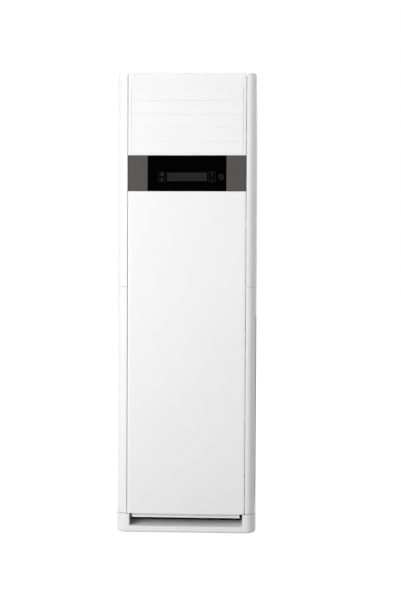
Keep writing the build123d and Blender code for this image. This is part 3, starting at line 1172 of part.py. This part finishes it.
# ================================================================ control box
BOX_X = (MOUTH_LEFT + BOX_INSET[0], SCROLL_RIGHT - BOX_INSET[1])
BOX_Z = (DECK_Z - BOX_INSET[2] - BOX_HEIGHT, DECK_Z - BOX_INSET[2])
BOX_BACK = SCROLL_FRONT - WALL
BOX_FRONT = BOX_BACK - BOX_DEPTH
INNER_X = (BOX_X[0] + BOX_WALL, BOX_X[1] - BOX_WALL)
INNER_Z = (BOX_Z[0] + BOX_WALL, BOX_Z[1] - BOX_WALL)
BOX_MIDDLE = ((BOX_X[0] + BOX_X[1]) / 2, (BOX_Z[0] + BOX_Z[1]) / 2)
CARD_SIZE = (INNER_X[1] - INNER_X[0] - 2 * CARD_INSET, INNER_Z[1] - INNER_Z[0] - 2 * CARD_INSET)
CARD_BACK = BOX_BACK - BOX_WALL - STANDOFF

with BuildPart() as control_box:
    block(BOX_X, (BOX_FRONT, BOX_BACK), BOX_Z)
    block(INNER_X, (BOX_FRONT - 1, BOX_BACK - BOX_WALL), INNER_Z, Mode.SUBTRACT)
    with BuildSketch(facing(BOX_BACK - BOX_WALL, BOX_MIDDLE[0], BOX_MIDDLE[1])):
        with GridLocations(CARD_SIZE[0] - 2 * CARD_INSET, CARD_SIZE[1] - 2 * CARD_INSET, 2, 2):
            Circle(BOSS_R)
    extrude(amount=STANDOFF)
    cable_z = (BOX_Z[0] - BOX_WALL, BOX_Z[0] + 2 * BOX_WALL)
    rod(BOX_MIDDLE[0], (BOX_FRONT + BOX_BACK) / 2, cable_z, CABLE_HOLE_R, Mode.SUBTRACT)
save(control_box, "control_box")

with BuildPart() as control_box_lid:
    lid_x = (BOX_X[0] - FIT - BOX_WALL, BOX_X[1] + FIT + BOX_WALL)
    lid_z = (BOX_Z[0] - FIT - BOX_WALL, BOX_Z[1] + FIT + BOX_WALL)
    block(lid_x, (BOX_FRONT - BOX_WALL, BOX_FRONT + LID_LAP), lid_z)
    gap_x, gap_z = (BOX_X[0] - FIT, BOX_X[1] + FIT), (BOX_Z[0] - FIT, BOX_Z[1] + FIT)
    block(gap_x, (BOX_FRONT, BOX_FRONT + LID_LAP + 1), gap_z, Mode.SUBTRACT)
save(control_box_lid, "control_box_lid")

with BuildPart() as main_board:
    card_x = (BOX_MIDDLE[0] - CARD_SIZE[0] / 2, BOX_MIDDLE[0] + CARD_SIZE[0] / 2)
    card_z = (BOX_MIDDLE[1] - CARD_SIZE[1] / 2, BOX_MIDDLE[1] + CARD_SIZE[1] / 2)
    card_front = CARD_BACK - BOARD_T
    block(card_x, (card_front, CARD_BACK), card_z)
    # Terminal block, transformer, relays and the motor's capacitor, as parts of the card.
    terminal_x = (card_x[0] + CARD_INSET, card_x[1] - CARD_INSET)
    terminal_z = (card_z[0] + CARD_INSET, card_z[0] + 3 * CARD_INSET)
    block(terminal_x, (card_front - CARD_INSET, card_front), terminal_z)
    transformer_x = (card_x[0] + CARD_INSET, BOX_MIDDLE[0] - CARD_INSET)
    transformer_z = (card_z[1] - 4 * CARD_INSET, card_z[1] - CARD_INSET)
    block(transformer_x, (card_front - 2 * CARD_INSET, card_front), transformer_z)
    with BuildSketch(facing(card_front, *BOX_MIDDLE)):
        with Locations((3 * CARD_INSET, 2 * CARD_INSET)):
            Circle(CARD_INSET)
        with GridLocations(2 * CARD_INSET, 0, 4, 1):
            Rectangle(CARD_INSET, CARD_INSET)
    extrude(amount=CARD_INSET)
save(main_board, "main_board")
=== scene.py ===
import json
from math import atan2, pi, radians

import bmesh
import bpy
from mathutils import Matrix, Vector


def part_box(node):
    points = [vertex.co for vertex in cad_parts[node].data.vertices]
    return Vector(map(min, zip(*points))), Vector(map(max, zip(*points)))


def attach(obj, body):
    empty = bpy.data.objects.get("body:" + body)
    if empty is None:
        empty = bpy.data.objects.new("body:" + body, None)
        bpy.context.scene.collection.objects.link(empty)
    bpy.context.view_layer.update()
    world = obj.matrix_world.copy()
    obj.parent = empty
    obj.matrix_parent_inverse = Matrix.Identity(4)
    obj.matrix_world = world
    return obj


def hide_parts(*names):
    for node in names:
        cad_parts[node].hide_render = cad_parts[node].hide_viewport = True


# Floor standing air conditioner. Metres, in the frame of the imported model: +X to the right of
# someone who faces the unit, -Y its front, +Z up, origin on the floor under its middle.
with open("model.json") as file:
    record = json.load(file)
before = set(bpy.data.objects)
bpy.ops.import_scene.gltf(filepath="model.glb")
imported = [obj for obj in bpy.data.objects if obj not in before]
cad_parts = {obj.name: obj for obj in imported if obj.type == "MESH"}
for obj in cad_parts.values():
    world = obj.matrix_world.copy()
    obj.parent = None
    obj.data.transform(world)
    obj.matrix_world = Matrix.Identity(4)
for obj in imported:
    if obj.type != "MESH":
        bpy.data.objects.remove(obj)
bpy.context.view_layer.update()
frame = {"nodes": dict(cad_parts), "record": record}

SCENE = bpy.context.scene
MM = 0.001  # metres

# ---------------------------------------------------------------- camera
CAMERA_PLACE = (0.280, -5.0, 1.040)
CAMERA_YAW, CAMERA_PITCH, CAMERA_ROLL = 2.662, 1.48, 0.27  # degrees: to the left, down, and over
LENS = 74.25
CAMERA_REACH = 200  # metres, past the far edge of the floor

camera_data = bpy.data.cameras.new("camera")
camera_data.lens = LENS
camera_data.clip_end = CAMERA_REACH
camera = bpy.data.objects.new("camera", camera_data)
camera.matrix_world = (
    Matrix.Translation(CAMERA_PLACE)
    @ Matrix.Rotation(radians(CAMERA_YAW), 4, "Z")
    @ Matrix.Rotation(radians(90 - CAMERA_PITCH), 4, "X")
    @ Matrix.Rotation(radians(CAMERA_ROLL), 4, "Z")
)
SCENE.collection.objects.link(camera)
SCENE.camera = camera
SCENE.view_settings.view_transform = "Standard"

# ---------------------------------------------------------------- node work
# A Mix node's inputs go by number: 0 is the share, 2 and 3 two numbers, 6 and 7 two colours.
CLOUD_LOW, CLOUD_HIGH = 0.3, 0.7  # where most of a Noise node's values lie
RIDGES = pi / 10  # a Wave node's Scale is this over the distance between its ridges


def linear(code):
    """An sRGB hex colour as the linear colour that a shader reads."""
    shares = [int(code[place:place + 2], 16) / 255 for place in (1, 3, 5)]
    return (*(s / 12.92 if s <= 0.04045 else ((s + 0.055) / 1.055) ** 2.4 for s in shares), 1)


def feed(node, inputs):
    """Sets a node's inputs, each to a value or to another node's output."""
    for name, value in inputs.items():
        if isinstance(value, bpy.types.NodeSocket):
            node.id_data.links.new(value, node.inputs[name])
        else:
            node.inputs[name].default_value = value


def add(tree, kind, settings=None, inputs=None):
    """Adds a node to a tree with its settings and inputs."""
    new = tree.nodes.new("ShaderNode" + kind)
    for name, value in (settings or {}).items():
        setattr(new, name, value)
    feed(new, inputs or {})
    return new


def begin(name, colour, roughness, metallic=0.0):
    """A material with one shader: returns it, its tree, the shader and the object's own place."""
    made = bpy.data.materials.new(name)
    made.use_nodes = True
    tree = made.node_tree
    tree.nodes.clear()
    shader = add(tree, "BsdfPrincipled", inputs={
        "Base Color": linear(colour), "Roughness": roughness, "Metallic": metallic,
    })
    add(tree, "OutputMaterial", inputs={"Surface": shader.outputs[0]})
    return made, tree, shader, add(tree, "TexCoord").outputs["Object"]


def mottle(tree, where, size, first, second, detail=2.0):
    """A cloudy blend of two colours or two numbers, with clouds `size` across."""
    cloud = add(tree, "TexNoise", inputs={"Vector": where, "Scale": 1 / size, "Detail": detail})
    if isinstance(first, str):
        blend = add(tree, "Mix", {"data_type": "RGBA"}, {
            0: cloud.outputs[0], 6: linear(first), 7: linear(second),
        })
        return blend.outputs[2]
    span = add(tree, "MapRange", inputs={
        "Value": cloud.outputs[0], "From Min": CLOUD_LOW, "From Max": CLOUD_HIGH,
        "To Min": first, "To Max": second,
    })
    return span.outputs[0]


# ---------------------------------------------------------------- finishes
def moulded_abs(name, light, shade, roughness):
    """Moulded ABS: satin from the tool's polish, with slow ripples where the melt shrank over
    ribs and a grain too fine to see from the front."""
    made, tree, shader, where = begin(name, light, roughness)
    ripple = add(tree, "TexNoise", inputs={"Vector": where, "Scale": 1 / (45 * MM), "Detail": 0.0})
    grain = add(tree, "TexNoise", inputs={"Vector": where, "Scale": 1 / (1.2 * MM), "Detail": 1.0})
    slow = add(tree, "Bump", inputs={"Height": ripple.outputs[0], "Distance": 0.06 * MM})
    fine = add(tree, "Bump", inputs={
        "Height": grain.outputs[0], "Distance": 0.01 * MM, "Normal": slow.outputs[0],
    })
    feed(shader, {
        "Base Color": mottle(tree, where, 220 * MM, light, shade),
        "Roughness": mottle(tree, where, 50 * MM, roughness - 0.04, roughness + 0.05),
        "IOR": 1.53, "Specular IOR Level": 0.22, "Normal": fine.outputs[0],
    })
    return made


def powder_coat(name, light, shade):
    """Baked powder coat on sheet steel: orange peel about 2 mm across, and a soft sheen."""
    made, tree, shader, where = begin(name, light, 0.42)
    peel = add(tree, "TexNoise", inputs={"Vector": where, "Scale": 1 / (2.2 * MM), "Detail": 1.0})
    bump = add(tree, "Bump", inputs={"Height": peel.outputs[0], "Distance": 0.04 * MM})
    feed(shader, {
        "Base Color": mottle(tree, where, 300 * MM, light, shade),
        "Roughness": mottle(tree, where, 30 * MM, 0.38, 0.48),
        "Normal": bump.outputs[0],
    })
    return made


def galvanised_steel(name):
    """Hot dip galvanised sheet: crystals of zinc about 9 mm across, each with its own
    brightness and sheen."""
    made, tree, shader, where = begin(name, "#B4B8BB", 0.38, 1.0)
    crystal = add(tree, "TexVoronoi", inputs={"Vector": where, "Scale": 1 / (9 * MM)})
    pick = add(tree, "SeparateColor", inputs={"Color": crystal.outputs["Color"]})
    tone = add(tree, "Mix", {"data_type": "RGBA"}, {
        0: pick.outputs[0], 6: linear("#A9ADB0"), 7: linear("#BFC2C5"),
    })
    sheen = add(tree, "MapRange", inputs={
        "Value": pick.outputs[1], "To Min": 0.36, "To Max": 0.46,
    })
    bump = add(tree, "Bump", inputs={"Height": crystal.outputs["Distance"], "Distance": 0.02 * MM})
    feed(shader, {
        "Base Color": tone.outputs[2], "Roughness": sheen.outputs[0], "Normal": bump.outputs[0],
    })
    return made


def eroded_abs(name):
    """Dark grey ABS from a spark eroded tool: an even matt grain, about 1 mm across here so that
    it still shows, its tips painted lighter than its hollows as a painted highlight."""
    made, tree, shader, where = begin(name, "#535250", 0.58)
    grain = add(tree, "TexNoise", inputs={
        "Vector": where, "Scale": 1 / (1 * MM), "Detail": 3.0, "Roughness": 0.65,
    })
    # Where the grain stands high the colour is lighter: a painted highlight on its tips.
    tone = add(tree, "Mix", {"data_type": "RGBA"}, {
        0: grain.outputs[0], 6: linear("#4D4C4A"), 7: linear("#595755"),
    })
    bump = add(tree, "Bump", inputs={"Height": grain.outputs[0], "Distance": 0.08 * MM})
    feed(shader, {
        "Base Color": tone.outputs[2],
        "Roughness": mottle(tree, where, 40 * MM, 0.54, 0.64),
        "Specular IOR Level": 0.3, "Normal": bump.outputs[0],
    })
    return made


def cast_acrylic(name, colour, shade, gloss):
    """Acrylic sheet: a flat deep gloss, with the faint haze that wiping leaves on it."""
    made, tree, shader, where = begin(name, colour, gloss)
    feed(shader, {
        "Base Color": mottle(tree, where, 60 * MM, colour, shade),
        "Roughness": mottle(tree, where, 20 * MM, gloss, gloss + 0.05, detail=4.0),
        "IOR": 1.49,
    })
    return made


def moulded_rubber(name):
    """Black rubber: dull and slightly dusty, with the fine pits of a compression tool."""
    made, tree, shader, where = begin(name, "#1A1A1A", 0.8)
    pits = add(tree, "TexNoise", inputs={"Vector": where, "Scale": 1 / (0.8 * MM), "Detail": 2.0})
    bump = add(tree, "Bump", inputs={"Height": pits.outputs[0], "Distance": 0.06 * MM})
    feed(shader, {
        "Base Color": mottle(tree, where, 8 * MM, "#161616", "#232322", detail=4.0),
        "Normal": bump.outputs[0],
    })
    return made


def plated_screw(name):
    """Zinc plated screw steel: bright, and cloudy where the plating is thin."""
    made, tree, shader, where = begin(name, "#C6C6C2", 0.3, 1.0)
    feed(shader, {
        "Base Color": mottle(tree, where, 2 * MM, "#B2B2AE", "#D4D4D0"),
        "Roughness": mottle(tree, where, 1 * MM, 0.22, 0.4),
    })
    return made


def woven_mesh(name):
    """Woven polypropylene filter: upright and level threads 1.5 mm apart, drawn coarser than
    the real cloth so that they show, with painted shade in the gaps between them."""
    made, tree, shader, where = begin(name, "#4A4D4E", 0.6)
    threads = [
        add(tree, "TexWave", {"bands_direction": across}, {
            "Vector": where, "Scale": RIDGES / (1.5 * MM),
        }).outputs["Fac"]
        for across in ("Y", "Z")
    ]
    top = add(tree, "Math", {"operation": "MAXIMUM"}, {0: threads[0], 1: threads[1]})
    # The gaps between threads take a near black colour: painted shade from the dark cabinet behind
    # the mesh.
    tone = add(tree, "Mix", {"data_type": "RGBA"}, {
        0: top.outputs[0], 6: linear("#1E2021"), 7: linear("#5A5E60"),
    })
    bump = add(tree, "Bump", inputs={"Height": top.outputs[0], "Distance": 0.4 * MM})
    feed(shader, {"Base Color": tone.outputs[2], "Normal": bump.outputs[0]})
    return made


def circuit_laminate(name):
    """Glass epoxy board under green solder mask: paler copper tracks show through the mask."""
    made, tree, shader, where = begin(name, "#11482A", 0.35)
    tracks = add(tree, "TexBrick", {"offset": 0.5, "squash": 1.4, "squash_frequency": 3}, {
        "Vector": where, "Color1": linear("#11482A"), "Color2": linear("#0D3B22"),
        "Mortar": linear("#2C7A4A"), "Scale": 1 / (20 * MM), "Mortar Size": 0.02,
    })
    bump = add(tree, "Bump", inputs={"Height": tracks.outputs["Fac"], "Distance": 0.1 * MM})
    feed(shader, {"Base Color": tracks.outputs["Color"], "Normal": bump.outputs[0]})
    return made


def plain_moulding(name, light, shade):
    """Unpolished polypropylene inside the cabinet: matt, faintly clouded, with a coarse grain."""
    made, tree, shader, where = begin(name, light, 0.62)
    grain = add(tree, "TexNoise", inputs={"Vector": where, "Scale": 1 / (1.6 * MM), "Detail": 2.0})
    bump = add(tree, "Bump", inputs={"Height": grain.outputs[0], "Distance": 0.08 * MM})
    feed(shader, {
        "Base Color": mottle(tree, where, 90 * MM, light, shade, detail=3.0),
        "Normal": bump.outputs[0],
    })
    return made


def hammered_enamel(name):
    """Grey enamel on the motor's steel can, with the dimples of hammer finish paint."""
    made, tree, shader, where = begin(name, "#74777A", 0.4, 0.2)
    dimples = add(tree, "TexVoronoi", {"feature": "SMOOTH_F1"}, {
        "Vector": where, "Scale": 1 / (4 * MM),
    })
    tone = add(tree, "Mix", {"data_type": "RGBA"}, {
        0: dimples.outputs["Distance"], 6: linear("#66696C"), 7: linear("#868A8D"),
    })
    bump = add(tree, "Bump", inputs={"Height": dimples.outputs["Distance"], "Distance": 0.3 * MM})
    feed(shader, {"Base Color": tone.outputs[2], "Normal": bump.outputs[0]})
    return made


def fin_stock(name):
    """Thin aluminium fins edge on: bright edges 1.8 mm apart, with painted shade in the gaps
    between them.
    """
    made, tree, shader, where = begin(name, "#D3D6D9", 0.35, 1.0)
    edges = add(tree, "TexWave", {"bands_direction": "X", "wave_profile": "TRI"}, {
        "Vector": where, "Scale": RIDGES / (1.8 * MM),
    })
    # Between the edges the colour darkens: painted shade in the gaps between the fins.
    tone = add(tree, "Mix", {"data_type": "RGBA"}, {
        0: edges.outputs["Fac"], 6: linear("#8E9295"), 7: linear("#DFE2E4"),
    })
    bump = add(tree, "Bump", inputs={"Height": edges.outputs["Fac"], "Distance": 0.4 * MM})
    feed(shader, {"Base Color": tone.outputs[2], "Normal": bump.outputs[0]})
    return made


def drawn_copper(name):
    """Soft drawn copper tube: warm and bright, with brown tarnish where it was handled."""
    made, tree, shader, where = begin(name, "#D08A66", 0.3, 1.0)
    feed(shader, {
        "Base Color": mottle(tree, where, 30 * MM, "#A8623F", "#DE9C79", detail=5.0),
        "Roughness": mottle(tree, where, 12 * MM, 0.22, 0.46),
    })
    return made


def turned_brass(name):
    """Forged and turned brass nut: yellow, with fine level rings from the lathe."""
    made, tree, shader, where = begin(name, "#CDAA5E", 0.28, 1.0)
    rings = add(tree, "TexWave", {"bands_direction": "Z"}, {
        "Vector": where, "Scale": RIDGES / (0.6 * MM), "Distortion": 0.4,
    })
    bump = add(tree, "Bump", inputs={"Height": rings.outputs["Fac"], "Distance": 0.05 * MM})
    feed(shader, {
        "Base Color": mottle(tree, where, 10 * MM, "#BC9749", "#DBBB72", detail=3.0),
        "Normal": bump.outputs[0],
    })
    return made


FINISHES = {
    "white_moulding": moulded_abs("moulded_white_abs", "#F5F5F5", "#F2F2F2", 0.36),
    "painted_steel": powder_coat("white_powder_coat", "#F1F1F0", "#EDEDEC"),
    "zinc_steel": galvanised_steel("galvanised_sheet_steel"),
    "grey_moulding": eroded_abs("spark_eroded_grey_abs"),
    "black_acrylic": cast_acrylic("black_cast_acrylic", "#020202", "#030303", 0.05),
    "smoked_acrylic": cast_acrylic("smoked_cast_acrylic", "#262626", "#282828", 0.09),
    "rubber": moulded_rubber("moulded_black_rubber"),
    "screw_steel": plated_screw("zinc_plated_screw_steel"),
    "filter_mesh": woven_mesh("woven_polypropylene_mesh"),
    "circuit_board": circuit_laminate("green_circuit_laminate"),
    "inner_moulding": plain_moulding("matt_polypropylene", "#CDCDCB", "#C4C4C1"),
    "motor_steel": hammered_enamel("hammered_grey_enamel"),
    "aluminium_fin": fin_stock("bare_aluminium_fin_stock"),
    "copper": drawn_copper("drawn_copper_tube"),
    "brass": turned_brass("turned_brass"),
}

for entry in frame["record"]["subparts"]:
    packed = frame["nodes"][entry["node"]]
    if not packed.material_slots:
        packed.data.materials.append(None)
    for material_slot in packed.material_slots:
        material_slot.material = FINISHES[entry["material_slot"]]

# ---------------------------------------------------------------- studio
AMBIENT_FRONT, AMBIENT_BACK = 0.20, 0.30  # light on the object from the room
DARK_ROOM = 0.005  # what gloss sees of the room in front of the object
WHITE = 1.0  # strength at which white renders as white


def softbox(name, place, aim, size, watts, mirrored=True):
    """A square area lamp that points from its place at a point of the object. Gloss shows it
    only when it is mirrored: the front lamps aren't, so that the fascia stays black."""
    lamp = bpy.data.lights.new(name, "AREA")
    lamp.size, lamp.energy = size, watts
    holder = bpy.data.objects.new(name, lamp)
    turn = (Vector(aim) - Vector(place)).to_track_quat("-Z", "Y")
    holder.matrix_world = Matrix.Translation(place) @ turn.to_matrix().to_4x4()
    holder.visible_glossy = mirrored
    SCENE.collection.objects.link(holder)


softbox("key_softbox", (-2.25, -2.95, 1.65), (0, 0, 1.1), size=2.0, watts=116, mirrored=False)
softbox("fill_softbox", (2.5, -1.8, 2.6), (0, 0, 1.5), size=1.6, watts=32, mirrored=False)
softbox("rear_softbox", (1.6, 4.2, 3.4), (0, 0, 0.9), size=2.4, watts=90)
softbox("top_softbox", (0.2, 0.8, 3.8), (0, 0, 1.8), size=1.4, watts=14)

world = bpy.data.worlds.new("studio")
world.use_nodes = True
SCENE.world = world
sky = world.node_tree
sky.nodes.clear()
rays = add(sky, "LightPath")
seen = add(sky, "Math", {"operation": "MAXIMUM"}, {
    0: rays.outputs["Is Camera Ray"], 1: rays.outputs["Is Transmission Ray"],
})
# Gloss shows the white background behind the object, and a dark room in front of it.
way = add(sky, "SeparateXYZ", inputs={"Vector": add(sky, "TexCoord").outputs["Generated"]})
behind = add(sky, "MapRange", {"interpolation_type": "SMOOTHSTEP"}, {
    "Value": way.outputs["Y"], "From Min": -0.75, "From Max": 0.25,
    "To Min": DARK_ROOM, "To Max": WHITE,
})
room = add(sky, "MapRange", {"interpolation_type": "SMOOTHSTEP"}, {
    "Value": way.outputs["Y"], "From Min": -0.5, "From Max": 0.5,
    "To Min": AMBIENT_FRONT, "To Max": AMBIENT_BACK,
})
ambient = add(sky, "Mix", {"data_type": "FLOAT"}, {
    0: rays.outputs["Is Glossy Ray"], 2: room.outputs[0], 3: behind.outputs[0],
})
level = add(sky, "Mix", {"data_type": "FLOAT"}, {
    0: seen.outputs[0], 2: ambient.outputs[0], 3: WHITE,
})
background = add(sky, "Background", inputs={
    "Color": linear("#FFFFFF"), "Strength": level.outputs[0],
})
add(sky, "OutputWorld", inputs={"Surface": background.outputs[0]})

FLOOR_HALF = 40.0
FLOOR_GLOW = 0.82  # what the camera and reflections see on top of the lit floor
GLOW_NEAR, GLOW_FAR = 1.5, 5.0  # metres from the object over which that glow rises to white
floor_finish, floor_tree, floor_shader, floor_place = begin("pale_studio_vinyl", "#A6A6A6", 0.9)
floor_rays = add(floor_tree, "LightPath")
mirroring = add(floor_tree, "Math", {"operation": "MAXIMUM"}, {
    0: floor_rays.outputs["Is Glossy Ray"], 1: floor_rays.outputs["Is Transmission Ray"],
})
noticed = add(floor_tree, "Math", {"operation": "MAXIMUM"}, {
    0: floor_rays.outputs["Is Camera Ray"], 1: mirroring.outputs[0],
})
away = add(floor_tree, "VectorMath", {"operation": "LENGTH"}, {0: floor_place})
rise = add(floor_tree, "MapRange", inputs={
    "Value": away.outputs["Value"], "From Min": GLOW_NEAR, "From Max": GLOW_FAR,
    "To Min": FLOOR_GLOW, "To Max": WHITE,
})
glow = add(floor_tree, "Math", {"operation": "MULTIPLY"}, {
    0: noticed.outputs[0], 1: rise.outputs[0],
})
feed(floor_shader, {
    "Base Color": mottle(floor_tree, floor_place, 400 * MM, "#A5A5A5", "#A7A7A7"),
    "Specular IOR Level": 0.0,
    "Emission Color": linear("#FFFFFF"), "Emission Strength": glow.outputs[0],
})


def finished(name, mesh, finish):
    """Turns a bmesh into an object at the origin with one finish, and returns the object."""
    bmesh.ops.recalc_face_normals(mesh, faces=mesh.faces)
    data = bpy.data.meshes.new(name)
    mesh.to_mesh(data)
    mesh.free()
    data.materials.append(finish)
    made = bpy.data.objects.new(name, data)
    SCENE.collection.objects.link(made)
    return made


def open_rim(mesh):
    """The edges round what is still open."""
    return [edge for edge in mesh.edges if edge.is_boundary]


def verts_of(parts):
    """The vertices among the parts that an operator returned."""
    return [part for part in parts if isinstance(part, bmesh.types.BMVert)]


ground = bmesh.new()
bmesh.ops.create_grid(ground, x_segments=1, y_segments=1, size=FLOOR_HALF)
finished("studio_floor", ground, floor_finish)

# ---------------------------------------------------------------- printed marks
# Marks are drawn flat in millimetres, x to the right and y up, round the middle of their key.
INK = 0.06  # thickness of the ink
LINE, THIN_LINE, HAIR_LINE = 1.1, 0.8, 0.6  # widths of printed lines
ROUND = 16  # sides of a printed dot
BLADE_LEAN = 28  # degrees by which a blade of the fan leans past its arm
RING_GAP = 64  # degrees of the power ring that are open
KEY_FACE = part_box("power_key")[0][1]
FASCIA_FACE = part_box("display_fascia")[0][1]


def screen_ink(name, light, shade):
    """Screen printed ink: matt beside the acrylic, a little uneven where the mesh laid it down."""
    made, tree, shader, where = begin(name, light, 0.5)
    feed(shader, {"Base Color": mottle(tree, where, 1 * MM, light, shade)})
    return made


def stroke(mesh, start, end, width=LINE):
    """A printed line with round ends between two points."""
    run = Vector(end) - Vector(start)
    dot = bmesh.ops.create_circle(
        mesh, cap_ends=True, radius=width / 2, segments=ROUND,
        matrix=Matrix.Rotation(pi / ROUND, 4, "Z"),
    )["verts"]
    ahead = [vert for vert in dot if vert.co.x > 0]
    bmesh.ops.translate(mesh, vec=(run.length, 0, 0), verts=ahead)
    aim = Matrix.Translation((*start, 0)) @ Matrix.Rotation(atan2(run.y, run.x), 4, "Z")
    bmesh.ops.transform(mesh, matrix=aim, verts=dot)


def turned(radius, angle):
    """A point at a distance and an angle in degrees from the middle."""
    return Matrix.Rotation(radians(angle), 2) @ Vector((radius, 0))


def snowflake(mesh):
    """Six arms, each with a pair of barbs."""
    for angle in range(30, 390, 60):
        stroke(mesh, turned(1.2, angle), turned(6.0, angle), THIN_LINE)
        for side in (-1, 1):
            foot = turned(3.6, angle) + turned(0.9, angle + side * 90)
            stroke(mesh, foot, foot + turned(1.4, angle + side * 45), HAIR_LINE)


def fan(mesh):
    """Three blades round a hub."""
    bmesh.ops.create_circle(mesh, cap_ends=True, radius=1.0, segments=ROUND)
    for angle in range(90, 450, 120):
        blade = (
            Matrix.Translation((*turned(3.6, angle), 0))
            @ Matrix.Rotation(radians(angle + BLADE_LEAN), 4, "Z")
            @ Matrix.Diagonal((2.4, 1.3, 1, 1))
        )
        bmesh.ops.create_circle(mesh, cap_ends=True, radius=1, segments=ROUND, matrix=blade)


def plus(mesh):
    """A cross of one line and two half lines."""
    stroke(mesh, (-4.0, 0), (4.0, 0))
    for side in (-1, 1):
        stroke(mesh, (0, side * 1.3), (0, side * 4.0))


def minus(mesh):
    """A level line."""
    stroke(mesh, (-4.0, 0), (4.0, 0))


def power(mesh):
    """A ring with a gap at its top, and a bar in the gap."""
    rim = [mesh.verts.new((*turned(radius, 90 + RING_GAP / 2), 0)) for radius in (5.7, 6.6)]
    bmesh.ops.spin(
        mesh, geom=[*rim, mesh.edges.new(rim)], cent=(0, 0, 0), axis=(0, 0, 1),
        angle=radians(360 - RING_GAP), steps=36, use_merge=False,
    )
    stroke(mesh, (0, 2.2), (0, 7.4), 1.0)


def frame_line(mesh, width, height, radius, line):
    """An outline with rounded corners and a thin line."""
    edge = bmesh.ops.create_grid(
        mesh, x_segments=1, y_segments=1, size=0.5, matrix=Matrix.Diagonal((width, height, 1, 1))
    )["verts"]
    bmesh.ops.bevel(
        mesh, geom=edge, offset=radius, segments=6, profile=0.5, affect="VERTICES", material=-1
    )
    panel = mesh.faces[:]
    bmesh.ops.inset_region(mesh, faces=panel, thickness=line, use_boundary=True)
    bmesh.ops.delete(mesh, geom=panel, context="FACES_ONLY")


def printed(name, body, ink, place, face, draw, *sizes):
    """Prints a mark on a face that looks to the front, at the x and z of its middle."""
    mesh = bmesh.new()
    draw(mesh, *sizes)
    laid = bmesh.ops.extrude_face_region(mesh, geom=mesh.faces[:], use_keep_orig=True)["geom"]
    bmesh.ops.translate(mesh, vec=(0, 0, INK), verts=verts_of(laid))
    stand = (
        Matrix.Translation((place[0], face, place[1]))
        @ Matrix.Rotation(pi / 2, 4, "X")
        @ Matrix.Scale(MM, 4)
    )
    bmesh.ops.transform(mesh, matrix=stand, verts=mesh.verts)
    mark = finished(name, mesh, ink)
    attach(mark, body)


def middle(node):
    """The x and z of the middle of a node."""
    low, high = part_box(node)
    return (low[0] + high[0]) / 2, (low[2] + high[2]) / 2


MARK_INK = screen_ink("grey_screen_ink", "#464646", "#4E4E4E")
LINE_INK = screen_ink("dim_screen_ink", "#1A1A1A", "#202020")
MARKS = {
    "mode_key": snowflake, "fan_key": fan, "raise_key": plus, "lower_key": minus,
    "power_key": power,
}
for key, draw in MARKS.items():
    printed(f"{key}_mark", key, MARK_INK, middle(key), KEY_FACE, draw)

PAIR_FRAME = (26.6, 39.5, 3.0, THIN_LINE)  # width, height, corner radius and line
KEY_RING = (22.4, 22.4, 11.19, THIN_LINE)
pair_z = middle("power_key")[1]
for name, upper in (("left_key_frame", "mode_key"), ("right_key_frame", "raise_key")):
    place = middle(upper)[0], pair_z
    printed(name, "cabinet", LINE_INK, place, FASCIA_FACE, frame_line, *PAIR_FRAME)
place = middle("power_key")
printed("power_key_ring", "power_key", LINE_INK, place, KEY_FACE, frame_line, *KEY_RING)

# ---------------------------------------------------------------- screws of the rear panel
# A screw is drawn in millimetres with its crown up. Below the crown come rings of the head and
# the shank, as radius and place along the screw.
SCREW_RINGS = (
    (3.1, -0.1), (3.7, -0.5), (4.0, -1.1), (4.0, -2.0), (1.9, -2.0), (1.9, -10.5), (1.2, -11.0),
)
HEAD_RADIUS = 4.0 * MM
CROSS_ARM, CROSS_WIDTH, CROSS_DEPTH = 1.9, 0.9, 1.1
SCREW_ROWS = 8
DRIVEN_TURN = 37  # degrees between the crosses of neighbouring screws


def pan_head_screw():
    """A cross recessed pan head screw, its crown up in the middle of the new mesh."""
    mesh = bmesh.new()
    # The grid's inner lines move from a third of an arm to the edges of the cross.
    for vert in bmesh.ops.create_grid(mesh, x_segments=3, y_segments=3, size=CROSS_ARM)["verts"]:
        for axis in (0, 1):
            if abs(vert.co[axis]) < CROSS_ARM / 2:
                vert.co[axis] *= 1.5 * CROSS_WIDTH / CROSS_ARM
    cross = [
        face for face in mesh.faces
        if min(map(abs, face.calc_center_median()[:2])) < CROSS_WIDTH / 4
    ]
    sunk = bmesh.ops.extrude_face_region(mesh, geom=cross)["geom"]
    bmesh.ops.translate(mesh, vec=(0, 0, -CROSS_DEPTH), verts=verts_of(sunk))
    bmesh.ops.subdivide_edges(mesh, edges=open_rim(mesh), cuts=1)
    for radius, along in SCREW_RINGS:
        ring = verts_of(bmesh.ops.extrude_edge_only(mesh, edges=open_rim(mesh))["geom"])
        for vert in ring:
            vert.co = (*(vert.co.xy.normalized() * radius), along)
    bmesh.ops.holes_fill(mesh, edges=open_rim(mesh), sides=0)
    return mesh


screws_low, screws_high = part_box("rear_screws")
first_z, last_z = screws_low[2] + HEAD_RADIUS, screws_high[2] - HEAD_RADIUS
column_x = screws_high[0] - HEAD_RADIUS
screws = pan_head_screw()
one_screw = [*screws.verts, *screws.edges, *screws.faces]
for count in range(2 * SCREW_ROWS):
    row, side = count // 2, 1 - 2 * (count % 2)
    if count < 2 * SCREW_ROWS - 1:
        moved = verts_of(bmesh.ops.duplicate(screws, geom=one_screw)["geom"])
    else:
        moved = verts_of(one_screw)
    height = first_z + row * (last_z - first_z) / (SCREW_ROWS - 1)
    seat = (
        Matrix.Translation((side * column_x, screws_high[1], height))
        @ Matrix.Rotation(-pi / 2, 4, "X")
        @ Matrix.Rotation(radians(count * DRIVEN_TURN), 4, "Z")
        @ Matrix.Scale(MM, 4)
    )
    bmesh.ops.transform(screws, matrix=seat, verts=moved)
rear_heads = finished("rear_panel_screws", screws, FINISHES["screw_steel"])
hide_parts("rear_screws")
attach(rear_heads, "cabinet")
